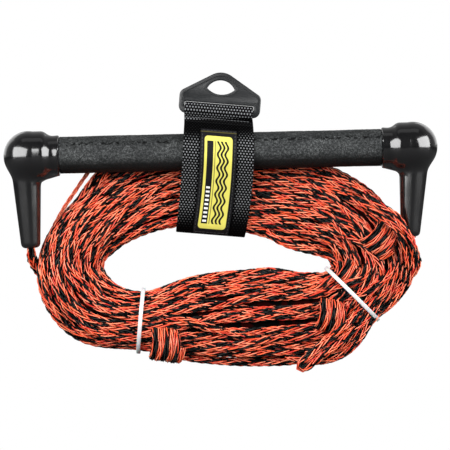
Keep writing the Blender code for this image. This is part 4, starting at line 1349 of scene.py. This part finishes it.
# ---------------------------------------------------------------- hanger
def rounded_outline(corners, steps=14):
    """An outline through corners (x, z, radius), each rounded by an arc."""
    out = []
    for i, (x, z, radius) in enumerate(corners):
        here = Vector((x, z))
        before = (Vector(corners[i - 1][:2]) - here).normalized()
        after = (Vector(corners[(i + 1) % len(corners)][:2]) - here).normalized()
        half = before.angle(after) / 2
        centre = here + (before + after).normalized() * (radius / math.sin(half))
        reach = radius / math.tan(half)
        start, end = here + before * reach - centre, here + after * reach - centre
        sweep = start.angle_signed(end)
        for k in range(steps + 1):
            out.append(tuple(centre + Matrix.Rotation(-sweep * k / steps, 2) @ start))
    return out


def lens_outline(half_width, rise, drop, middle_z, steps=28):
    """An almond shape: an upper and a lower arc between two corners."""
    out = []
    for height, sign in ((rise, 1), (drop, -1)):
        radius = (half_width**2 + height**2) / (2 * height)
        reach = math.degrees(math.asin(half_width / radius))
        for k in range(steps):
            angle = math.radians(-reach + 2 * reach * k / steps)
            x = radius * math.sin(angle) * sign
            out.append((x, middle_z + sign * (height - radius + radius * math.cos(angle))))
    return out


def shifted(outline, distance):
    return [(x + distance, z) for x, z in outline]


def plate(name, outlines, thickness, bevel):
    """A flat plate in the strap's plane, with its rim rounded; outlines after the first are holes."""
    curve = bpy.data.curves.new(name, "CURVE")
    curve.dimensions = "2D"
    curve.fill_mode = "BOTH"
    curve.extrude = thickness / 2 - bevel
    curve.bevel_depth = bevel
    curve.bevel_resolution = 3
    curve.offset = -bevel
    for outline in outlines:
        spline = curve.splines.new("POLY")
        spline.points.add(len(outline) - 1)
        for point, (x, z) in zip(spline.points, outline):
            point.co = (x, z, 0.0, 1.0)
        spline.use_cyclic_u = True
    mesh = evaluated_mesh(linked(name, curve), name)
    bm = bmesh.new()
    bm.from_mesh(mesh)
    bmesh.ops.remove_doubles(bm, verts=bm.verts, dist=0.00001)
    bmesh.ops.recalc_face_normals(bm, faces=bm.faces)
    bm.transform(Matrix.Rotation(math.radians(90), 4, "X"))
    bm.to_mesh(mesh)
    bm.free()
    return mesh


def moulded_hanger():
    """The hanger: rounded triangle, almond eye, webbing slot, and a panel sunk in each face."""
    thickness, centre_x = 0.0040, 0.0004
    apex, w, bottom, slope = 0.0611, 0.0303, 0.0268, 0.60
    shoulder = apex - slope * w
    outer = ((0.0, apex, 0.0140), (w, shoulder, 0.0050), (w, bottom, 0.0055), (-w, bottom, 0.0055))
    outer += ((-w, shoulder, 0.0050),)
    s, slot_top, slot_bottom, rounding = 0.0257, 0.03565, 0.0318, 0.0010
    slot = ((s, slot_top), (s, slot_bottom), (-s, slot_bottom), (-s, slot_top))
    slot = [(x, z, rounding) for x, z in slot]
    eye_half, eye_rise, eye_drop, eye_z = 0.0102, 0.0065, 0.0042, 0.0465
    eye = lens_outline(eye_half, eye_rise, eye_drop, eye_z)
    outlines = [shifted(rounded_outline(outer), centre_x), rounded_outline(slot, 4), shifted(eye, centre_x)]
    body = linked("hanger_moulding", plate("hanger_moulding", outlines, thickness, 0.0008))
    inset, rim, sunk_thickness, sunk_bevel = 0.0024, 0.0014, 0.0014, 0.0002
    side, upper, lower = w - inset, shoulder - 0.0012, slot_top + 0.0022
    panel = ((0.0, apex - 1.2 * inset, 0.0110), (side, upper, 0.0030), (side, lower, 0.0012))
    panel += ((-side, lower, 0.0012), (-side, upper, 0.0030))
    around_eye = lens_outline(eye_half + rim * 1.8, eye_rise + rim, eye_drop + rim, eye_z)
    outlines = [shifted(rounded_outline(panel), centre_x), shifted(around_eye, centre_x)]
    tools = []
    for face in (-1, 1):
        tool = linked(f"sunk_{face}", plate(f"sunk_{face}", outlines, sunk_thickness, sunk_bevel))
        tool.location = (0.0, face * thickness / 2, 0.0)
        tools.append(tool)
    mesh = combined(body, tools, "DIFFERENCE")
    tilt = Matrix(((ACROSS.x, 0, UP.x), (0, 1, 0), (ACROSS.z, 0, UP.z))).to_4x4()
    tilt.translation = STRAP
    mesh.transform(tilt)
    piece = object_from("hanger_moulding", mesh, HANGER, "hanger", 25.0)
    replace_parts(piece, "hanger")


# ---------------------------------------------------------------- handle
def turned(profile, segments):
    """A closed profile (x, radius) turned about the handle's axis."""
    count = len(profile)
    angle = np.arange(segments) * 2 * math.pi / segments
    x, radius = np.array(profile, float).T
    verts = np.stack(
        [
            np.repeat(x[:, None], segments, 1),
            radius[:, None] * np.sin(angle)[None, :],
            radius[:, None] * np.cos(angle)[None, :],
        ],
        -1,
    ).reshape(-1, 3)
    i, k = np.arange(count)[:, None], np.arange(segments)[None, :]
    j, m = (i + 1) % count, (k + 1) % segments
    faces = np.stack([i * segments + k, i * segments + m, j * segments + m, j * segments + k], -1)
    return verts, faces.reshape(-1, 4)


def grip_sleeve():
    """The grip: a rubber sleeve with a moulded grain, a faint parting line and rounded ends."""
    inner = CORE_RADIUS + GAP
    rounding = 0.0006
    straight = np.linspace(-GRIP_HALF_LENGTH + rounding, GRIP_HALF_LENGTH - rounding, 300)
    ends = [(rounding * (1 - math.cos(a)), rounding * (1 - math.sin(a))) for a in np.radians((0, 30, 60))]
    profile = [(-GRIP_HALF_LENGTH + out, GRIP_RADIUS - down) for out, down in ends]
    profile += [(x, GRIP_RADIUS) for x in straight]
    profile += [(GRIP_HALF_LENGTH - out, GRIP_RADIUS - down) for out, down in reversed(ends)]
    profile += [(x, inner) for x in np.linspace(GRIP_HALF_LENGTH, -GRIP_HALF_LENGTH, 20)]
    verts, faces = turned(profile, 112)
    radius = np.hypot(verts[:, 1], verts[:, 2])
    angle = np.arctan2(verts[:, 1], verts[:, 2])
    outer = np.clip((radius - inner) / (GRIP_RADIUS - inner), 0.0, 1.0)
    parting, ridge_width, ridge_height = math.radians(-122.0), 0.018, 0.00018
    ridge = np.exp(-(((angle - parting) / ridge_width) ** 2)) * ridge_height
    swell = 0.00006 * np.sin(verts[:, 0] * 61.0 + 2.0 * angle)
    swell = swell + 0.00005 * np.sin(verts[:, 0] * 137.0 - 3.0 * angle)
    verts[:, 1:] *= (1 + outer * (ridge + swell) / radius)[:, None]
    mesh = mesh_of("grip_rubber_sleeve", verts + np.array(AXIS), faces)
    obj = linked("grip_rubber_sleeve", mesh)
    group = obj.vertex_groups.new(name="outer")
    group.add([int(i) for i in np.nonzero(outer > 0.9)[0]], 1.0, "REPLACE")
    grain = bpy.data.textures.new("grip_grain", "VORONOI")
    grain.noise_scale = 0.0016
    push = obj.modifiers.new("grain", "DISPLACE")
    push.texture = grain
    push.texture_coords = "LOCAL"
    push.strength = -0.00022
    push.mid_level = 0.3
    push.vertex_group = "outer"
    mesh = evaluated_mesh(obj, "grip_rubber_sleeve")
    verts = np.array([vertex.co for vertex in mesh.vertices]) - np.array(AXIS)
    radius = np.hypot(verts[:, 1], verts[:, 2])
    rubber = np.clip((radius - inner) / (GRIP_RADIUS - inner) * 2, 0.0, 1.0)
    short = GRIP_RADIUS - np.median(radius[radius > GRIP_RADIUS - 0.0015])
    verts[:, 1:] *= (1 + rubber * short / radius)[:, None]
    mesh.vertices.foreach_set("co", (verts + np.array(AXIS)).ravel())
    piece = object_from("grip_rubber_sleeve", mesh, GRIP, "handle", 60.0)
    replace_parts(piece, "grip_sleeve")


def melted(a, b, reach):
    """The nearer of two distances, with the corner between them filled."""
    blend = np.maximum(reach - np.abs(a - b), 0.0) / reach
    return np.minimum(a, b) - blend * blend * reach / 4


def cap_distance(points, top, mouth, seam):
    """Distance to an elbow cap's surface, x outwards: ball, drum, shoulder, neck, web and leg."""
    x, y, z = points.T
    rho = np.hypot(y, z)
    ball = np.sqrt((x - BALL_X) ** 2 + rho**2) - BALL_RADIUS
    shoulder = -0.592 * (x - SHOULDER_X) + 0.806 * (rho - NECK_RADIUS)
    drum = -melted(-np.maximum(rho - DRUM_RADIUS, x - BALL_X), -shoulder, 0.0012)
    bead = 0.0002 * np.exp(-(((x - seam - 0.0012) / 0.0018) ** 2))
    neck = np.maximum(rho - NECK_RADIUS - bead, x - BALL_X)
    body = melted(np.minimum(ball, drum), neck, 0.0015)
    run = mouth - top
    length = np.linalg.norm(run)
    share = np.clip((points - top) @ run / length**2, 0.0, 1.2)
    across = points - top - share[:, None] * run
    leg = np.linalg.norm(across, axis=1) - (LEG_TOP_RADIUS + (LEG_TIP_RADIUS - LEG_TOP_RADIUS) * share)
    end = (share - 1.0) * length
    leg = -melted(-leg, -end, 0.0038)
    leg = np.maximum(leg, (top - points) @ run / length)
    slope = -0.264 * (x - 0.1190) - 0.964 * (z + 0.0147)
    web = np.maximum(slope, np.maximum(np.abs(y) - 0.0078, x - 0.1440))
    web = np.maximum(web, np.maximum(z, -0.0360 - z))
    whole = melted(melted(body, leg, 0.0040), web, 0.0018)
    return np.maximum(whole, seam - x)


def settled(verts, share, root, mouth, seam):
    """Points moved a share of the way onto a cap's surface, along its slope."""
    value = cap_distance(verts, root, mouth, seam)
    small = 1e-5
    slope = np.empty_like(verts)
    for k in range(3):
        nudge = np.zeros(3)
        nudge[k] = small
        slope[:, k] = (cap_distance(verts + nudge, root, mouth, seam) - value) / small
    return verts - share * value[:, None] * slope / np.maximum((slope**2).sum(1), 0.25)[:, None]


def elbow_cap(side):
    """A moulded elbow: ball, shoulder, neck, web and tapering leg melted into one smooth body."""
    name = "elbow_cap_right" if side > 0 else "elbow_cap_left"
    top, tip = leg_ends(side)
    seam = GRIP_HALF_LENGTH + GAP
    outward = np.array((side, 1.0, 1.0))
    step = 0.0008
    spans = ((seam - 0.004, 0.165), (-0.022, 0.022), (-0.072, 0.022))
    axes = [np.arange(low, high, step) for low, high in spans]
    grid = np.stack(np.meshgrid(*axes, indexing="ij"), -1).reshape(-1, 3)
    root, mouth = np.array(top) * outward, np.array(tip) * outward
    shape = tuple(len(axis) for axis in axes)
    inside = (cap_distance(grid, root, mouth, seam) < 0).reshape(shape)
    verts, faces = block_surface(inside)
    verts = np.array([axis[0] for axis in axes]) - step / 2 + verts * step
    for _ in range(14):
        verts = eased(settled(verts, 0.8, root, mouth, seam), faces, 0.25)
    for _ in range(3):
        verts = settled(verts, 1.0, root, mouth, seam)
    obj = linked(name, mesh_of(name, verts * outward, faces))
    direction = (tip - top).normalized()
    tools = [
        tool_bar(name + "_bore", (side * 0.1150, 0, 0), (side * 0.1348, 0, 0), CORE_RADIUS + GAP),
        tool_bar(name + "_mouth", tip - direction * 0.0080, tip + direction * 0.0040, ROPE_HOLE_RADIUS),
    ]
    mesh = combined(obj, tools, "DIFFERENCE")
    mesh.transform(Matrix.Translation(AXIS))
    piece = object_from(name, mesh, CAP, "handle", 40.0)
    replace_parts(piece, "end_cap_right" if side > 0 else "end_cap_left")


def block_surface(inside):
    """The boundary of filled cells as quads on shared corners."""
    inside = np.pad(inside, 1)
    shape = np.array(inside.shape) + 1
    quads = []
    for axis in range(3):
        near = np.moveaxis(inside, axis, 0)
        change = near[1:].astype(int) - near[:-1]
        for sign in (1, -1):
            spots = np.argwhere(change == sign)
            others = [n for n in range(3) if n != axis]
            base = np.zeros((len(spots), 3), int)
            base[:, axis] = spots[:, 0] + 1
            base[:, others[0]] = spots[:, 1]
            base[:, others[1]] = spots[:, 2]
            ring = []
            for a, b in ((0, 0), (1, 0), (1, 1), (0, 1)):
                corner = base.copy()
                corner[:, others[0]] += a
                corner[:, others[1]] += b
                ring.append((corner[:, 0] * shape[1] + corner[:, 1]) * shape[2] + corner[:, 2])
            quad = np.stack(ring, 1)
            quads.append(quad if sign > 0 else quad[:, ::-1])
    quads = np.concatenate(quads)
    used, places = np.unique(quads, return_inverse=True)
    corners = np.stack([used // (shape[1] * shape[2]), used // shape[2] % shape[1], used % shape[2]], 1) - 1.0
    return corners, places.reshape(-1, 4)


def eased(verts, quads, share):
    """Each corner moved part of the way to the middle of its neighbours."""
    total, count = np.zeros_like(verts), np.zeros(len(verts))
    for a, b in ((0, 1), (1, 2), (2, 3), (3, 0)):
        for here, there in ((quads[:, a], quads[:, b]), (quads[:, b], quads[:, a])):
            np.add.at(total, here, verts[there])
            np.add.at(count, here, 1)
    return verts + share * (total / count[:, None] - verts)


def tool_bar(name, start, end, radius):
    """A round bar that only cuts."""
    start, end = Vector(start), Vector(end)
    turn = Vector((0, 0, 1)).rotation_difference(end - start).to_matrix().to_4x4()
    place = Matrix.Translation((start + end) / 2) @ turn
    bm = bmesh.new()
    ends = {"radius1": radius, "radius2": radius, "depth": (end - start).length}
    bmesh.ops.create_cone(bm, cap_ends=True, segments=48, matrix=place, **ends)
    return linked(name, mesh_from(name, bm))


# ---------------------------------------------------------------- surroundings
def studio():
    """A pale floor, soft lamps and a camera straight in front."""
    lo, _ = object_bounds()
    bm = bmesh.new()
    bmesh.ops.create_grid(bm, x_segments=1, y_segments=1, size=60.0)
    mesh = mesh_from("floor", bm)
    floor = linked("floor", mesh)
    floor.location.z = lo.z - 0.0005
    mat = new_material("pale_floor")
    shaded(mat, Base_Color=rgb(0.06, 0.06, 0.06), Roughness=0.9)
    shader, result = (mat.node_tree.nodes[kind] for kind in ("Principled BSDF", "Material Output"))
    glow = node(mat, "ShaderNodeEmission", {"Color": rgb(1.0, 1.0, 1.0), "Strength": 1.0})
    seen = node(mat, "ShaderNodeLightPath").outputs["Is Camera Ray"]
    both = node(mat, "ShaderNodeMixShader", {0: seen, 1: shader.outputs[0], 2: glow.outputs[0]})
    feed(mat, result.inputs["Surface"], both.outputs[0])
    mesh.materials.append(mat)
    floor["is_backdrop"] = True

    target = about_axis(0.0, 0.0, -0.080)
    for name, azimuth, elevation, size, radiance in (
        ("left_softbox", -43.0, 19.0, (1.45, 0.82), 7.6),
        ("right_softbox", 58.0, 19.0, (1.15, 0.82), 8.2),
        ("top_softbox", 0.0, 80.0, (1.20, 0.40), 0.3),
        ("left_rim", -140.0, 25.0, (0.80, 0.80), 0.7),
        ("right_rim", 140.0, 25.0, (0.80, 0.80), 0.7),
    ):
        lamp = bpy.data.lights.new(name, "AREA")
        lamp.shape = "RECTANGLE"
        lamp.size, lamp.size_y = size
        lamp.energy = radiance * math.pi * size[0] * size[1]
        obj = linked(name, lamp)
        level, rise = math.radians(azimuth), math.radians(elevation)
        away = Vector((math.sin(level) * math.cos(rise), -math.cos(level) * math.cos(rise), math.sin(rise)))
        obj.location = target + away * 1.20
        obj.rotation_euler = away.to_track_quat("Z", "Y").to_euler()

    world = bpy.data.worlds.new("studio")
    bpy.context.scene.world = world
    world.use_nodes = True
    background = world.node_tree.nodes["Background"]
    direction = node(world, "ShaderNodeTexCoord").outputs["Generated"]
    behind = part_of(world, direction, 1)
    level = ramp(world, behind, -0.2, 0.9, 0.05, 0.38)
    room = mixed(world, level, rgb(0.0, 0.0, 0.0), rgb(1.0, 1.0, 1.0))
    seen = node(world, "ShaderNodeLightPath").outputs["Is Camera Ray"]
    feed(world, background.inputs["Color"], mixed(world, seen, room, rgb(1.0, 1.0, 1.0)))

    distance, frame_width, sensor = 1.90, 0.33435, 36.0
    camera = bpy.data.cameras.new("camera")
    camera.sensor_width = sensor
    camera.lens = sensor * distance / frame_width
    camera.clip_end = 20.0
    obj = linked("camera", camera)
    obj.location = about_axis(0.0020, -distance, -0.0548)
    look = Vector((0.0, 1.0, 0.0)).to_track_quat("-Z", "Y")
    roll = Matrix.Rotation(math.radians(1.4), 4, "Y")
    obj.rotation_euler = (roll @ look.to_matrix().to_4x4()).to_euler()
    bpy.context.scene.camera = obj
    bpy.context.scene.view_settings.view_transform = "Standard"


ROPE = rope_material()
ROPE_CORE = rope_core_material()
CAP = cap_material()
GRIP = grip_material()
WEBBING = webbing_material()
LOOP_TAPE = tape_material("loop_tape_pile", False)
HOOK_TAPE = tape_material("hook_tape_hooks", True)
LABEL = label_material()
DARK_THREAD = thread_material("dark_thread", rgb(0.010, 0.010, 0.011), rgb(0.040, 0.040, 0.042))
SEAM_THREAD = thread_material("seam_thread", rgb(0.060, 0.062, 0.066), rgb(0.160, 0.164, 0.170))
HANGER = hanger_material()
TIE = tie_material()

coil_core()
coil_turns()
crossing_runs()
barrel_wraps()
boat_loop()
edge_runs()
loose_run()
bridle_tails()
cable_ties()
FRONT, BACK = loop_sides()
WRAP_END = keeper_strap(FRONT, BACK)
strap_closure(BACK, WRAP_END)
seam_rows()
woven_label(FRONT)
moulded_hanger()
grip_sleeve()
elbow_cap(-1)
elbow_cap(1)
for node_name, finish in (("core_tube", tube_material()), ("bridle_rope", rope_inside_material())):
    shown = frame["nodes"][node_name]
    shown.data.materials.clear()
    shown.data.materials.append(finish)
studio()
